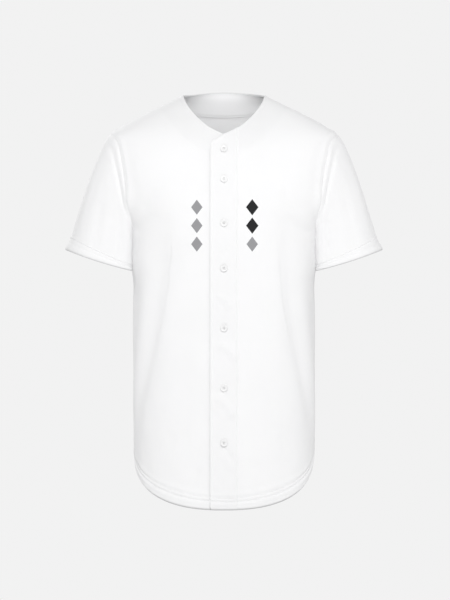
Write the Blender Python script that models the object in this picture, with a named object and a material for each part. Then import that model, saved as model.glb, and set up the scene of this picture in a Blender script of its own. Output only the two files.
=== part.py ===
"""A short-sleeved baseball jersey, filled out as it is worn, with nobody inside it.

Metres, +Z up. The front faces -Y and the wearer's left is +X. The origin is midway
between the two points where the shoulder seams meet the neck.
"""

import math

import bpy
import numpy as np

# Cloth
WALL = 0.0012
HEM_LAYER = 0.0009
HEM_DEPTH = 0.022
SLEEVE_HEM_DEPTH = 0.018
SEAM_GAP = 0.0003
ARMHOLE_GAP = 0.0005
LAYER_GAP = 0.00045

# Body of the garment: level sections, boxier than an ellipse
SQUARENESS = 2.4
SECTION_COLUMNS = ("height", "half_width", "front", "back")
SECTIONS = (
    (0.030, 0.040, 0.026, 0.052),
    (0.016, 0.055, 0.028, 0.058),
    (0.000, 0.077, 0.032, 0.064),
    (-0.017, 0.1095, 0.045, 0.074),
    (-0.0294, 0.135, 0.054, 0.081),
    (-0.0528, 0.180, 0.072, 0.092),
    (-0.074, 0.2125, 0.086, 0.100),
    (-0.095, 0.2205, 0.097, 0.107),
    (-0.130, 0.2215, 0.108, 0.114),
    (-0.160, 0.2170, 0.115, 0.118),
    (-0.190, 0.2050, 0.1205, 0.1195),
    (-0.220, 0.1870, 0.1245, 0.1195),
    (-0.245, 0.1725, 0.1260, 0.118),
    (-0.270, 0.1668, 0.1265, 0.116),
    (-0.300, 0.1660, 0.1255, 0.1135),
    (-0.330, 0.1675, 0.1245, 0.111),
    (-0.400, 0.1700, 0.1210, 0.106),
    (-0.500, 0.1695, 0.1180, 0.107),
    (-0.600, 0.1690, 0.1180, 0.113),
    (-0.700, 0.1690, 0.1190, 0.118),
    (-0.800, 0.1690, 0.1200, 0.120),
)

# Neck and shoulder, seen from the front: distance from the middle, height
NECK_POINT = 0.077
TIP_HEIGHT = -0.074
BACK_NECK_RISE = 0.0078
NECKLINE = (
    (-0.0250, -0.1055),
    (-0.0225, -0.0930),
    (-0.0150, -0.0840),
    (0.0000, -0.0775),
    (0.0127, -0.0715),
    (0.0330, -0.0598),
    (0.0453, -0.0492),
    (0.0543, -0.0398),
    (0.0609, -0.0315),
    (0.0712, -0.0150),
    (NECK_POINT, 0.0),
)

# Armhole edge from the shoulder tip to the underarm: height, distance from the middle
FRONT_ARMHOLE = (
    (-0.0740, 0.2125),
    (-0.0830, 0.2035),
    (-0.0936, 0.1970),
    (-0.1143, 0.1925),
    (-0.1367, 0.1882),
    (-0.1592, 0.1845),
    (-0.1742, 0.1820),
    (-0.1929, 0.1795),
    (-0.2150, 0.1765),
    (-0.2320, 0.1745),
    (-0.2450, 0.1725),
)
BACK_ARMHOLE = (
    (-0.0740, 0.2125),
    (-0.0830, 0.2075),
    (-0.0950, 0.2020),
    (-0.1150, 0.1965),
    (-0.1400, 0.1925),
    (-0.1650, 0.1890),
    (-0.1900, 0.1850),
    (-0.2150, 0.1795),
    (-0.2330, 0.1755),
    (-0.2450, 0.1725),
)
UNDERARM_HEIGHT = -0.245

# Shirt-tail hem: high at the side seams, low in front and at the back
HEM_SIDE_HEIGHT = -0.669
HEM_DROP = 0.1022
HEM_ROUNDING = 0.06
HEM_FULLNESS = 0.88

# Placket and buttons
PLACKET_LEFT = -0.0240
PLACKET_RIGHT = 0.0240
STAND_EDGE = 0.0135
CORNER_ROUND = 0.004
BUTTON_HEIGHTS = (-0.1050, -0.1608, -0.2421, -0.3249, -0.4353, -0.5458, -0.6471)
BUTTON_RADIUS = 0.0070
BUTTON_THICK = 0.0026
BUTTON_RIM = 0.0011
BUTTON_HOLE = 0.0009
BUTTON_HOLE_SPREAD = 0.0016
BUTTON_SIDES = 16

# Sleeves: the open end seen from the front, for the wearer's left
CUFF_CENTRE = (0.2330, 0.0020, -0.3100)
CUFF_BOW = 0.006
CUFF_HALF_WIDTH = 0.0640
CUFF_HALF_DEPTH = 0.0590
CUFF_TILT = math.radians(17.3)

# Long soft folds of the body: angle from the front's middle at three heights, width, depth
FOLD_COLUMNS = ("top", "middle", "bottom", "angle_top", "angle_middle", "angle_bottom", "width", "depth")
BODY_FOLDS = (
    (-0.20, -0.42, -0.640, 43.0, 52.0, 74.0, 0.015, -0.0045),
    (-0.24, -0.42, -0.660, 58.0, 66.0, 86.0, 0.016, 0.0040),
    (-0.33, -0.50, -0.700, 30.0, 33.0, 38.0, 0.022, -0.0018),
    (-0.20, -0.42, -0.640, 134.0, 126.0, 108.0, 0.017, -0.0045),
    (-0.26, -0.45, -0.700, 152.0, 150.0, 146.0, 0.020, -0.0035),
    (-0.22, -0.40, -0.660, 118.0, 112.0, 98.0, 0.016, 0.0030),
)

# How finely each piece is divided
NECK_COLUMNS = 6
SHOULDER_COLUMNS = 8
ARMHOLE_ROWS = 12
SIDE_ROWS = 13
SLEEVE_ROWS = 9
FACING_ROWS = 2
FACING_SHOULDER = 2

CLOTH_COLOUR = (0.90, 0.90, 0.91)
CLOTH_ROUGHNESS = 0.75
BUTTON_COLOUR = (0.86, 0.86, 0.86)
BUTTON_ROUGHNESS = 0.35


def clear_scene():
    for obj in list(bpy.data.objects):
        bpy.data.objects.remove(obj)


def smooth(xs, ys, at):
    """Values at AT on a smooth curve through the points (xs, ys), with xs rising."""
    xs = np.asarray(xs, float)
    ys = np.asarray(ys, float)
    slopes = np.gradient(ys, xs)
    at = np.clip(at, xs[0], xs[-1])
    cell = np.clip(np.searchsorted(xs, at) - 1, 0, len(xs) - 2)
    width = xs[cell + 1] - xs[cell]
    t = (at - xs[cell]) / width
    start = (1 + 2 * t) * (1 - t) ** 2 * ys[cell] + t * (1 - t) ** 2 * width * slopes[cell]
    end = t * t * (3 - 2 * t) * ys[cell + 1] - t * t * (1 - t) * width * slopes[cell + 1]
    return start + end


def section(z, column):
    rows = np.array(SECTIONS)[::-1]
    return smooth(rows[:, 0], rows[:, SECTION_COLUMNS.index(column)], z)


def depth_at(x, z, face):
    """How far in front of or behind the side seams the cloth lies, at x and height z."""
    across = np.clip(np.abs(x) / section(z, "half_width"), 0, 1)
    return section(z, face) * (1 - across ** SQUARENESS) ** (1 / SQUARENESS)


def on_front(x, z):
    return np.stack([x, -depth_at(x, z, "front"), z], axis=-1)


def on_back(x, z):
    return np.stack([x, depth_at(x, z, "back"), z], axis=-1)


def fold_height(points):
    """How far the body's folds lift the cloth outwards at these points."""
    x, y, z = points[..., 0], points[..., 1], points[..., 2]
    angle = np.degrees(np.arctan2(np.abs(x), -y))
    lift = np.zeros_like(z)
    for row in BODY_FOLDS:
        fold = dict(zip(FOLD_COLUMNS, row))
        heights = (fold["bottom"], fold["middle"], fold["top"])
        angles = (fold["angle_bottom"], fold["angle_middle"], fold["angle_top"])
        away = np.radians(angle - smooth(heights, angles, z)) * 0.14 / fold["width"]
        along = np.clip((z - fold["bottom"]) / (fold["top"] - fold["bottom"]), 0, 1)
        lift += fold["depth"] * np.sin(math.pi * along ** 0.8) ** 1.2 * np.exp(-away ** 2)
    return lift


def level(points):
    """Distance from the cloth's outer face, roughly: above 0 outside it."""
    x, y, z = points[..., 0], points[..., 1], points[..., 2]
    face = np.where(y < 0, section(z, "front"), section(z, "back"))
    wide = np.abs(x) / section(z, "half_width")
    deep = np.abs(y) / face
    ring = (wide ** SQUARENESS + deep ** SQUARENESS) ** (1 / SQUARENESS)
    return (ring - 1) / np.maximum(ring, 0.2) * np.hypot(x, y) - fold_height(points)


def slope(points):
    step = 1e-4
    sides = []
    for axis in range(3):
        shift = np.zeros(3)
        shift[axis] = step
        sides.append((level(points + shift) - level(points - shift)) / (2 * step))
    return np.stack(sides, axis=-1)


def normals_of(points):
    direction = slope(points)
    return direction / np.linalg.norm(direction, axis=-1, keepdims=True)


def onto_cloth(points):
    """Moves points the short way onto the cloth's outer face."""
    for _ in range(10):
        direction = slope(points)
        square = np.maximum((direction ** 2).sum(axis=-1, keepdims=True), 0.05)
        points = points - level(points)[..., None] * direction / square
    return points


def out_to_cloth(points):
    """Moves points straight out from the upright middle line onto the cloth's outer face."""
    for _ in range(12):
        out = points[..., :2] / np.hypot(points[..., 0], points[..., 1])[..., None]
        points = points.copy()
        points[..., :2] -= level(points)[..., None] * out
    return points


def along(curve, count, power=1.0):
    """COUNT + 1 points at even lengths along a finely drawn curve."""
    lengths = np.concatenate([[0], np.cumsum(np.linalg.norm(np.diff(curve, axis=0), axis=1))])
    wanted = lengths[-1] * np.linspace(0, 1, count + 1) ** power
    return np.stack([np.interp(wanted, lengths, curve[:, i]) for i in range(3)], axis=-1)


def neck_height(x):
    rows = np.array(NECKLINE)
    return smooth(rows[:, 0], rows[:, 1], x)


def front_neckline(start, count):
    x = start + (NECK_POINT - start) * np.sin(np.linspace(0, math.pi / 2, 200))
    return along(on_front(x, neck_height(x)), count)


def back_neckline(count):
    x = NECK_POINT * np.sin(np.linspace(0, math.pi / 2, 200))
    height = BACK_NECK_RISE * (1 - (x / NECK_POINT) ** 2)
    return along(on_back(x, height), count)


def shoulder(count):
    z = np.linspace(0, TIP_HEIGHT, 200)
    x = section(z, "half_width")
    return along(np.stack([x, np.zeros_like(x), z], axis=-1), count)


def armhole(face):
    rows = np.array(FRONT_ARMHOLE if face == "front" else BACK_ARMHOLE)
    step = np.arange(len(rows))
    fine = np.linspace(0, len(rows) - 1, 400)
    z = smooth(step, rows[:, 0], fine)
    x = np.minimum(smooth(step, rows[:, 1], fine), section(z, "half_width"))
    curve = on_front(x, z) if face == "front" else on_back(x, z)
    curve[[0, -1], 1] = 0
    return along(curve, ARMHOLE_ROWS)


def hem_height(toward_middle):
    """Height of the hem, from 0 at the side seam to 1 at the middle of the front or back."""
    fuller = toward_middle ** HEM_FULLNESS
    rounded = np.sqrt(fuller ** 2 + HEM_ROUNDING ** 2) - HEM_ROUNDING
    return HEM_SIDE_HEIGHT - HEM_DROP * rounded / (math.hypot(1, HEM_ROUNDING) - HEM_ROUNDING)


def hem(start, count, face):
    across = np.sin(np.linspace(math.asin(start / 0.169), math.pi / 2, 300))
    toward = (1 - np.abs(across) ** SQUARENESS) ** (1 / SQUARENESS)
    z = hem_height(toward)
    x = across * section(z, "half_width")
    curve = on_front(x, z) if face == "front" else on_back(x, z)
    return along(out_to_cloth(curve), count)


def lengthwise(points, rows_above, rows_below, band):
    """Splits a line from neck to hem: rows to the underarm's height, rows to the hem band, and the band."""
    heights = [*np.linspace(points[0], points[1], rows_above + 1)]
    heights += [*np.linspace(points[1], points[2] + band, rows_below + 1)[1:], points[2]]
    return np.array(heights)


def panel_edges(start, face):
    """Top, bottom, middle and side edges of half a front or back, for the wearer's left."""
    if face == "front":
        neckline = front_neckline(start, NECK_COLUMNS)
    else:
        neckline = back_neckline(NECK_COLUMNS)
    top = np.concatenate([neckline, shoulder(SHOULDER_COLUMNS)[1:]])
    bottom = hem(start, len(top) - 1, face)
    heights = lengthwise((top[0, 2], -0.270, bottom[0, 2]), ARMHOLE_ROWS, SIDE_ROWS, HEM_DEPTH)
    middle_x = np.full(len(heights), start)
    middle = on_front(middle_x, heights) if face == "front" else on_back(middle_x, heights)
    side_heights = lengthwise(
        (0, UNDERARM_HEIGHT, bottom[-1, 2]), ARMHOLE_ROWS, SIDE_ROWS, HEM_DEPTH
    )[ARMHOLE_ROWS + 1 :]
    side = np.stack(
        [section(side_heights, "half_width"), np.zeros_like(side_heights), side_heights], axis=-1
    )
    side = np.concatenate([armhole(face), out_to_cloth(side)])
    return top, bottom, middle, side


def filled(top, bottom, middle, side):
    """A grid [row, column] spanning four edges, laid onto the cloth's face."""
    rows, columns = len(side), len(top)
    v = np.linspace(0, 1, rows)[:, None, None]
    u = np.linspace(0, 1, columns)[None, :, None]
    sides = (1 - u) * middle[:, None] + u * side[:, None]
    ends = (1 - v) * top[None] + v * bottom[None]
    corners = (1 - u) * ((1 - v) * top[0] + v * bottom[0]) + u * ((1 - v) * top[-1] + v * bottom[-1])
    grid = sides + ends - corners
    grid[1:-1, 1:-1] = onto_cloth(grid[1:-1, 1:-1])
    return grid


def half_panel(start, face):
    grid = filled(*panel_edges(start, face))
    shift = SEAM_GAP / 2 if face == "back" else -SEAM_GAP / 2
    grid[0, NECK_COLUMNS:, 1] += shift
    grid[ARMHOLE_ROWS:, -1, 1] += shift
    return grid


def mirrored(array):
    return array * np.array([-1.0, 1.0, 1.0])


def sleeve_ring():
    """The armhole's points, from the shoulder tip down the front to the underarm and up the back."""
    front = armhole("front")
    back = armhole("back")
    return np.concatenate([front, back[-2:0:-1]])


def sleeve_grid(rows):
    """A grid [row, round] of the wearer's left sleeve's outer face, from armhole to hem, and its ring's normals."""
    ring = sleeve_ring()
    count = len(ring)
    turn = np.linspace(0, 2 * math.pi, count, endpoint=False)
    across = np.array([math.cos(CUFF_TILT), 0, math.sin(CUFF_TILT)])
    down = np.array([math.sin(CUFF_TILT), 0, -math.cos(CUFF_TILT)])
    forward = np.array([0, -1.0, 0])
    cuff = (
        np.array(CUFF_CENTRE)
        + CUFF_HALF_WIDTH * np.cos(turn)[:, None] * across
        + CUFF_HALF_DEPTH * np.sin(turn)[:, None] * forward
        + CUFF_BOW * np.sin(turn)[:, None] ** 2 * down
    )
    reach = np.linalg.norm(cuff - ring, axis=1, keepdims=True)
    outward = 0.18 + 0.42 * (0.5 + 0.5 * np.cos(turn)) ** 1.5
    push = np.stack([outward, -0.04 * np.sin(turn), np.zeros(count)], axis=-1)
    leave = (cuff - ring) / reach + push
    leave /= np.linalg.norm(leave, axis=1, keepdims=True)
    begin = ring + ARMHOLE_GAP * leave
    length = np.linalg.norm(cuff - begin, axis=1).mean()
    body = np.linspace(0, 1 - SLEEVE_HEM_DEPTH / length, rows)
    s = np.append(body, 1.0)[:, None, None]
    grid = (
        (1 + 2 * s) * (1 - s) ** 2 * begin
        + s * (1 - s) ** 2 * 0.45 * reach * leave
        + s * s * (3 - 2 * s) * cuff
        - s * s * (1 - s) * 0.85 * reach * down
    )
    tangent = np.roll(ring, -1, axis=0) - np.roll(ring, 1, axis=0)
    sideways = np.cross(tangent, leave)
    own = sideways / np.linalg.norm(sideways, axis=1, keepdims=True)
    shared = own + normals_of(ring)
    shared /= np.linalg.norm(shared, axis=1, keepdims=True)
    return grid, shared


def round_normals(grid):
    """Outward normals of a grid [row, round] that closes on itself round the arm."""
    ahead = np.roll(grid, -1, axis=1) - np.roll(grid, 1, axis=1)
    down = np.gradient(grid, axis=0)
    normals = np.cross(ahead, down)
    return normals / np.linalg.norm(normals, axis=-1, keepdims=True)


def shell(name, outer, inner, closed=False):
    """One closed solid between two grids [row, column] of points, the outer one facing out."""
    rows, columns = outer.shape[:2]
    points = np.concatenate([outer.reshape(-1, 3), inner.reshape(-1, 3)])
    under = rows * columns
    faces = []
    steps = columns if closed else columns - 1

    def at(row, column):
        return row * columns + column % columns

    for row in range(rows - 1):
        for column in range(steps):
            a, b = at(row, column), at(row, column + 1)
            c, d = at(row + 1, column + 1), at(row + 1, column)
            faces += [(a, d, b), (b, d, c)]
            faces += [(a + under, b + under, d + under), (b + under, c + under, d + under)]
    for column in range(steps):
        a, b = at(0, column), at(0, column + 1)
        faces.append((a, b, b + under, a + under))
        a, b = at(rows - 1, column), at(rows - 1, column + 1)
        faces.append((b, a, a + under, b + under))
    if not closed:
        for row in range(rows - 1):
            a, b = at(row, 0), at(row + 1, 0)
            faces.append((b, a, a + under, b + under))
            a, b = at(row, columns - 1), at(row + 1, columns - 1)
            faces.append((a, b, b + under, a + under))
    mesh = bpy.data.meshes.new(name)
    mesh.from_pydata([tuple(point) for point in points], [], faces)
    mesh.validate()
    return finished(name, mesh, CLOTH_COLOUR, CLOTH_ROUGHNESS)


def finished(name, mesh, colour, roughness):
    obj = bpy.data.objects.new(name, mesh)
    bpy.context.collection.objects.link(obj)
    material = bpy.data.materials.new(name + "_material")
    material.use_nodes = True
    surface = material.node_tree.nodes["Principled BSDF"]
    surface.inputs["Base Color"].default_value = (*colour, 1)
    surface.inputs["Roughness"].default_value = roughness
    surface.inputs["Metallic"].default_value = 0
    mesh.materials.append(material)
    return obj


def facing_out(name, outer, inner, closed=False):
    """A shell from grids whose columns may run either way round."""
    row, column = outer.shape[0] // 2, outer.shape[1] // 3
    down = outer[row + 1, column] - outer[row, column]
    right = outer[row, column + 1] - outer[row, column]
    if np.dot(np.cross(down, right), outer[row, column] - inner[row, column]) < 0:
        outer, inner = outer[:, ::-1], inner[:, ::-1]
    return shell(name, outer, inner, closed)


def wall_below(grid, shared=None):
    """The inner face of a panel: its points moved in by the wall, and by one layer more along the hem."""
    normals = normals_of(grid)
    if shared is not None:
        normals[: ARMHOLE_ROWS + 1, -1] = shared
    thick = np.full(grid.shape[:2] + (1,), WALL)
    thick[-1] += HEM_LAYER
    thick[-2] += HEM_LAYER
    return grid - thick * normals


def make_fronts(shared):
    seam = shared[: ARMHOLE_ROWS + 1]
    left = half_panel(STAND_EDGE + 2 * SEAM_GAP, "front")
    facing_out("left_front", left, wall_below(left, seam))
    right = half_panel(-STAND_EDGE, "front")
    facing_out("right_front", mirrored(right), mirrored(wall_below(right, seam)))


def make_back(shared):
    seam = np.concatenate([shared[:1], shared[: ARMHOLE_ROWS - 1 : -1]])
    half = half_panel(0.0, "back")
    inner = wall_below(half, seam)
    inner[:, 0, 0] = 0
    half[:, 0, 0] = 0
    outer = np.concatenate([mirrored(half[:, :0:-1]), half], axis=1)
    inner = np.concatenate([mirrored(inner[:, :0:-1]), inner], axis=1)
    facing_out("back", outer, inner)


def make_sleeves():
    """Both sleeves. Returns the shared normals along the armhole of the wearer's left."""
    grid, shared = sleeve_grid(SLEEVE_ROWS)
    normals = round_normals(grid)
    normals[0] = shared
    thick = np.full(grid.shape[:2] + (1,), WALL)
    thick[-2:] += HEM_LAYER
    inner = grid - thick * normals
    facing_out("left_sleeve", grid, inner, closed=True)
    facing_out("right_sleeve", mirrored(grid), mirrored(inner), closed=True)
    return shared


def placket_grid():
    across = np.array([0.0, 0.02, 0.09, 0.25, 0.5, 0.75, 1.0])
    x = PLACKET_LEFT + (PLACKET_RIGHT - PLACKET_LEFT) * across
    top = neck_height(x)
    corner = np.array([CORNER_ROUND, 0.6 * CORNER_ROUND, 0.1 * CORNER_ROUND, 0, 0, 0, 0])
    bottom = hem_height(depth_at(x, HEM_SIDE_HEIGHT - HEM_DROP, "front") / 0.12) + corner
    columns = [
        lengthwise((a, -0.270, b), ARMHOLE_ROWS, SIDE_ROWS, HEM_DEPTH) for a, b in zip(top, bottom)
    ]
    z = np.stack(columns, axis=1)
    return onto_cloth(on_front(np.broadcast_to(x, z.shape), z))


def make_placket():
    grid = placket_grid()
    normals = normals_of(grid)
    inner = grid + LAYER_GAP * normals
    facing_out("front_placket", inner + WALL * normals, inner)


def make_facing():
    """The strip of cloth inside the back neck, from shoulder seam to shoulder seam."""
    half = half_panel(0.0, "back")[: FACING_ROWS + 1, : NECK_COLUMNS + FACING_SHOULDER + 1]
    normals = normals_of(half)
    normals[:, 0, 0] = 0
    half[:, 0, 0] = 0
    outer = half - (WALL + LAYER_GAP) * normals
    inner = outer - WALL * normals
    outer = np.concatenate([mirrored(outer[:, :0:-1]), outer], axis=1)
    inner = np.concatenate([mirrored(inner[:, :0:-1]), inner], axis=1)
    facing_out("back_neck_facing", outer, inner)


def make_button(name, height):
    """A round four-hole button, its flat back just clear of the placket."""
    seat = on_front(np.array(0.0), np.array(height))
    normal = normals_of(seat[None])[0]
    base = seat + normal * (LAYER_GAP + WALL + SEAM_GAP)
    up = np.array([0, 0, 1.0]) - normal[2] * normal
    up /= np.linalg.norm(up)
    side = np.cross(up, normal)
    disc = turned_disc(name)
    for k in range(4):
        angle = math.pi / 4 + k * math.pi / 2
        place = (BUTTON_HOLE_SPREAD * math.cos(angle), BUTTON_HOLE_SPREAD * math.sin(angle))
        cut_hole(disc, place)
    for vertex in disc.data.vertices:
        local = np.array(vertex.co)
        vertex.co = base + local[0] * side + local[1] * up + local[2] * normal
    return disc


def turned_disc(name):
    """A disc with a raised rim, as one solid turned round Z from its half profile."""
    profile = (
        (0.0, 0.0),
        (BUTTON_RADIUS - 0.0004, 0.0),
        (BUTTON_RADIUS, 0.0006),
        (BUTTON_RADIUS, BUTTON_THICK - 0.0005),
        (BUTTON_RADIUS - 0.0007, BUTTON_THICK),
        (BUTTON_RADIUS - 0.0030, BUTTON_THICK - BUTTON_RIM),
        (0.0, BUTTON_THICK - BUTTON_RIM),
    )
    points = [(0.0, 0.0, profile[0][1])]
    for radius, height in profile[1:-1]:
        for k in range(BUTTON_SIDES):
            angle = 2 * math.pi * k / BUTTON_SIDES
            points.append((radius * math.cos(angle), radius * math.sin(angle), height))
    points.append((0.0, 0.0, profile[-1][1]))
    last = len(points) - 1
    rings = len(profile) - 2
    faces = []
    for k in range(BUTTON_SIDES):
        ahead = (k + 1) % BUTTON_SIDES
        faces.append((0, 1 + ahead, 1 + k))
        for ring in range(rings - 1):
            low, high = 1 + ring * BUTTON_SIDES, 1 + (ring + 1) * BUTTON_SIDES
            faces.append((low + k, low + ahead, high + ahead, high + k))
        top = 1 + (rings - 1) * BUTTON_SIDES
        faces.append((top + k, top + ahead, last))
    mesh = bpy.data.meshes.new(name)
    mesh.from_pydata(points, [], faces)
    return finished(name, mesh, BUTTON_COLOUR, BUTTON_ROUGHNESS)


def cut_hole(disc, place):
    bpy.ops.mesh.primitive_cylinder_add(
        vertices=6, radius=BUTTON_HOLE, depth=0.02, location=(place[0], place[1], 0)
    )
    cutter = bpy.context.object
    cut = disc.modifiers.new("hole", "BOOLEAN")
    cut.object = cutter
    cut.operation = "DIFFERENCE"
    cut.solver = "EXACT"
    graph = bpy.context.evaluated_depsgraph_get()
    drilled = bpy.data.meshes.new_from_object(disc.evaluated_get(graph))
    disc.modifiers.clear()
    disc.data = drilled
    bpy.data.objects.remove(cutter)


def main():
    clear_scene()
    shared = make_sleeves()
    make_fronts(shared)
    make_back(shared)
    make_placket()
    make_facing()
    for number, height in enumerate(BUTTON_HEIGHTS, start=1):
        make_button(f"button_{number}", height)


if __name__ == "__main__":
    main()
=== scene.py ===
"""Dresses the baseball jersey: knit panels with their folds, seams and stitching, buttons, and a plain studio."""

import math
from functools import partial

import bpy
import numpy as np
from bpy.props import FloatProperty, FloatVectorProperty, PointerProperty
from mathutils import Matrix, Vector, kdtree


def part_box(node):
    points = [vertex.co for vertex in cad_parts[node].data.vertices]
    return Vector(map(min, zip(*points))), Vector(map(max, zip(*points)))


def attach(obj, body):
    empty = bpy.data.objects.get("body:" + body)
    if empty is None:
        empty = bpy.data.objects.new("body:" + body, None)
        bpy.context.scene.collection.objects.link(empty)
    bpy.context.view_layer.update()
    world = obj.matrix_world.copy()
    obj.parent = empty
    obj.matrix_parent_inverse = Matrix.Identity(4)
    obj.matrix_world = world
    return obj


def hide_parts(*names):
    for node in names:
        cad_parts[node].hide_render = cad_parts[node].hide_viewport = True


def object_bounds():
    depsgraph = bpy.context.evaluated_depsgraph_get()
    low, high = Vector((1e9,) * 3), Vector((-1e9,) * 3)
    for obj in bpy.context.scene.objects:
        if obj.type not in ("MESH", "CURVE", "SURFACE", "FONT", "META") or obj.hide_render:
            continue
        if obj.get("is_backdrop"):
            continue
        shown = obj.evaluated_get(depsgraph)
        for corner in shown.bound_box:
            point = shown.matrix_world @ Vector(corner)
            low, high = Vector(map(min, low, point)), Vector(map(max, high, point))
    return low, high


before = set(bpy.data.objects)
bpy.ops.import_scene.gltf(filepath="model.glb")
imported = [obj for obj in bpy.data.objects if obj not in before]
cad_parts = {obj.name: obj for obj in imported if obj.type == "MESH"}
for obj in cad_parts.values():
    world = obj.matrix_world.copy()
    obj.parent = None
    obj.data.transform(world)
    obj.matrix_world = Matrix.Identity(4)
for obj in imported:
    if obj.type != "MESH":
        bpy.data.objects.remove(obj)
CAD_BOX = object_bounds()

bl_info = {
    "name": "Baseball jersey",
    "version": (1, 0, 0),
    "blender": (4, 5, 0),
    "location": "View3D > Sidebar > Jersey",
    "description": "Builds the cloth, stitching and buttons of a baseball jersey on its solids",
    "category": "Object",
}

BODY = "root"
TINY = 1e-9

# Body of the garment: level sections, boxier than an ellipse
SQUARENESS = 2.4
SECTION_COLUMNS = ("height", "half_width", "front", "back")
SECTIONS = (
    (0.030, 0.040, 0.026, 0.052),
    (0.016, 0.055, 0.028, 0.058),
    (0.000, 0.077, 0.032, 0.064),
    (-0.017, 0.1095, 0.045, 0.074),
    (-0.0294, 0.135, 0.054, 0.081),
    (-0.0528, 0.180, 0.072, 0.092),
    (-0.074, 0.2125, 0.086, 0.100),
    (-0.095, 0.2205, 0.097, 0.107),
    (-0.130, 0.2215, 0.108, 0.114),
    (-0.160, 0.2170, 0.115, 0.118),
    (-0.190, 0.2050, 0.1205, 0.1195),
    (-0.220, 0.1870, 0.1245, 0.1195),
    (-0.245, 0.1725, 0.1260, 0.118),
    (-0.270, 0.1668, 0.1265, 0.116),
    (-0.300, 0.1660, 0.1255, 0.1135),
    (-0.330, 0.1675, 0.1245, 0.111),
    (-0.400, 0.1700, 0.1210, 0.106),
    (-0.500, 0.1695, 0.1180, 0.107),
    (-0.600, 0.1690, 0.1180, 0.113),
    (-0.700, 0.1690, 0.1190, 0.118),
    (-0.800, 0.1690, 0.1200, 0.120),
)

# Neck and shoulder, seen from the front: distance from the middle, height
NECK_POINT = 0.077
TIP_HEIGHT = -0.074
BACK_NECK_RISE = 0.0078
NECKLINE = (
    (-0.0262, -0.1075),
    (-0.0243, -0.0965),
    (-0.0150, -0.0868),
    (0.0000, -0.0772),
    (0.0127, -0.0715),
    (0.0330, -0.0598),
    (0.0453, -0.0492),
    (0.0543, -0.0398),
    (0.0609, -0.0315),
    (0.0712, -0.0150),
    (NECK_POINT, 0.0),
)

# Armhole edges from the shoulder tip to the underarm: height, distance from the middle
UNDERARM_HEIGHT = -0.245
ARMHOLES = {
    "front": (
        (-0.0740, 0.2125),
        (-0.0830, 0.2035),
        (-0.0936, 0.1970),
        (-0.1143, 0.1925),
        (-0.1367, 0.1882),
        (-0.1592, 0.1845),
        (-0.1742, 0.1820),
        (-0.1929, 0.1795),
        (-0.2150, 0.1765),
        (-0.2320, 0.1745),
        (UNDERARM_HEIGHT, 0.1725),
    ),
    "back": (
        (-0.0740, 0.2125),
        (-0.0830, 0.2075),
        (-0.0950, 0.2020),
        (-0.1150, 0.1965),
        (-0.1400, 0.1925),
        (-0.1650, 0.1890),
        (-0.1900, 0.1850),
        (-0.2150, 0.1795),
        (-0.2330, 0.1755),
        (UNDERARM_HEIGHT, 0.1725),
    ),
}

# Shirt-tail hem: high at the side seams, low in front and at the back
HEM_SIDE_HEIGHT = -0.669
HEM_DROP = 0.1022
HEM_LOWEST = HEM_SIDE_HEIGHT - HEM_DROP
HEM_HALF_WIDTH = 0.169
HEM_ROUNDING = 0.06
HEM_FULLNESS = 0.88

# Placket, and the gaps between layers of cloth
PLACKET_LEFT = -0.0262
PLACKET_RIGHT = 0.0270
PLACKET_WIDTH = PLACKET_RIGHT - PLACKET_LEFT
PLACKET_INSET = 0.0040
STAND_EDGE = 0.0135
CORNER_ROUND = 0.004
LAYER_GAP = 0.00045
SEAM_GAP = 0.0003

# Sleeves: the open end seen from the front, for the wearer's left
CUFF_CENTRE = (0.2330, 0.0020, -0.3100)
CUFF_BOW = 0.003
CUFF_HALF_WIDTH = 0.0640
CUFF_HALF_DEPTH = 0.0590
CUFF_TILT = math.radians(17.3)
ARM_DOWN = np.array([math.sin(CUFF_TILT), 0, -math.cos(CUFF_TILT)])
ARM_ACROSS = np.array([math.cos(CUFF_TILT), 0, math.sin(CUFF_TILT)])
ARM_RADIUS = 0.065
SLEEVE_SEEDS = {1: 21, -1: 31}

# How the edges of a panel share its width and its height, and the middle's height level with the underarm
NECK_SHARE = 6 / 14
ARMHOLE_SHARE = 12 / 26
HEM_SHARE = 1 / 26
HEM_TOP = 1 - HEM_SHARE
MIDDLE_LEVEL = -0.270

# Long soft folds of the body: top, middle and bottom heights, the angle from the front's middle at each,
# width, depth
BODY_FOLDS = (
    (-0.20, -0.42, -0.640, 46.0, 55.0, 76.0, 0.013, -0.0045),
    (-0.24, -0.42, -0.660, 58.0, 66.0, 86.0, 0.016, 0.0040),
    (-0.33, -0.50, -0.700, 30.0, 33.0, 38.0, 0.022, -0.0018),
    (-0.20, -0.42, -0.640, 134.0, 126.0, 108.0, 0.017, -0.0045),
    (-0.26, -0.45, -0.700, 152.0, 150.0, 146.0, 0.020, -0.0035),
    (-0.22, -0.40, -0.660, 118.0, 112.0, 98.0, 0.016, 0.0030),
)
FOLD_RADIUS = 0.14

# Short creases of the front, seen from the front: x and height of both ends, width, depth
CREASES = (
    (-0.016, -0.374, 0.014, -0.400, 0.0070, 0.0012),
    (-0.014, -0.462, 0.024, -0.498, 0.0080, 0.0016),
    (-0.019, -0.562, 0.020, -0.604, 0.0080, 0.0016),
    (0.008, -0.290, -0.008, -0.302, 0.0045, -0.0008),
    (-0.010, -0.655, 0.020, -0.690, 0.0065, -0.0010),
    (-0.150, -0.225, -0.105, -0.170, 0.009, -0.0016),
    (0.150, -0.225, 0.108, -0.165, 0.009, -0.0016),
    (-0.160, -0.262, -0.120, -0.225, 0.010, -0.0014),
    (0.160, -0.262, 0.118, -0.228, 0.010, -0.0014),
    (-0.045, -0.690, -0.075, -0.742, 0.012, -0.0014),
    (0.052, -0.680, 0.080, -0.738, 0.012, -0.0014),
    (-0.100, -0.620, -0.125, -0.700, 0.011, -0.0012),
    (0.100, -0.630, 0.122, -0.700, 0.011, -0.0012),
)

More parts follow.
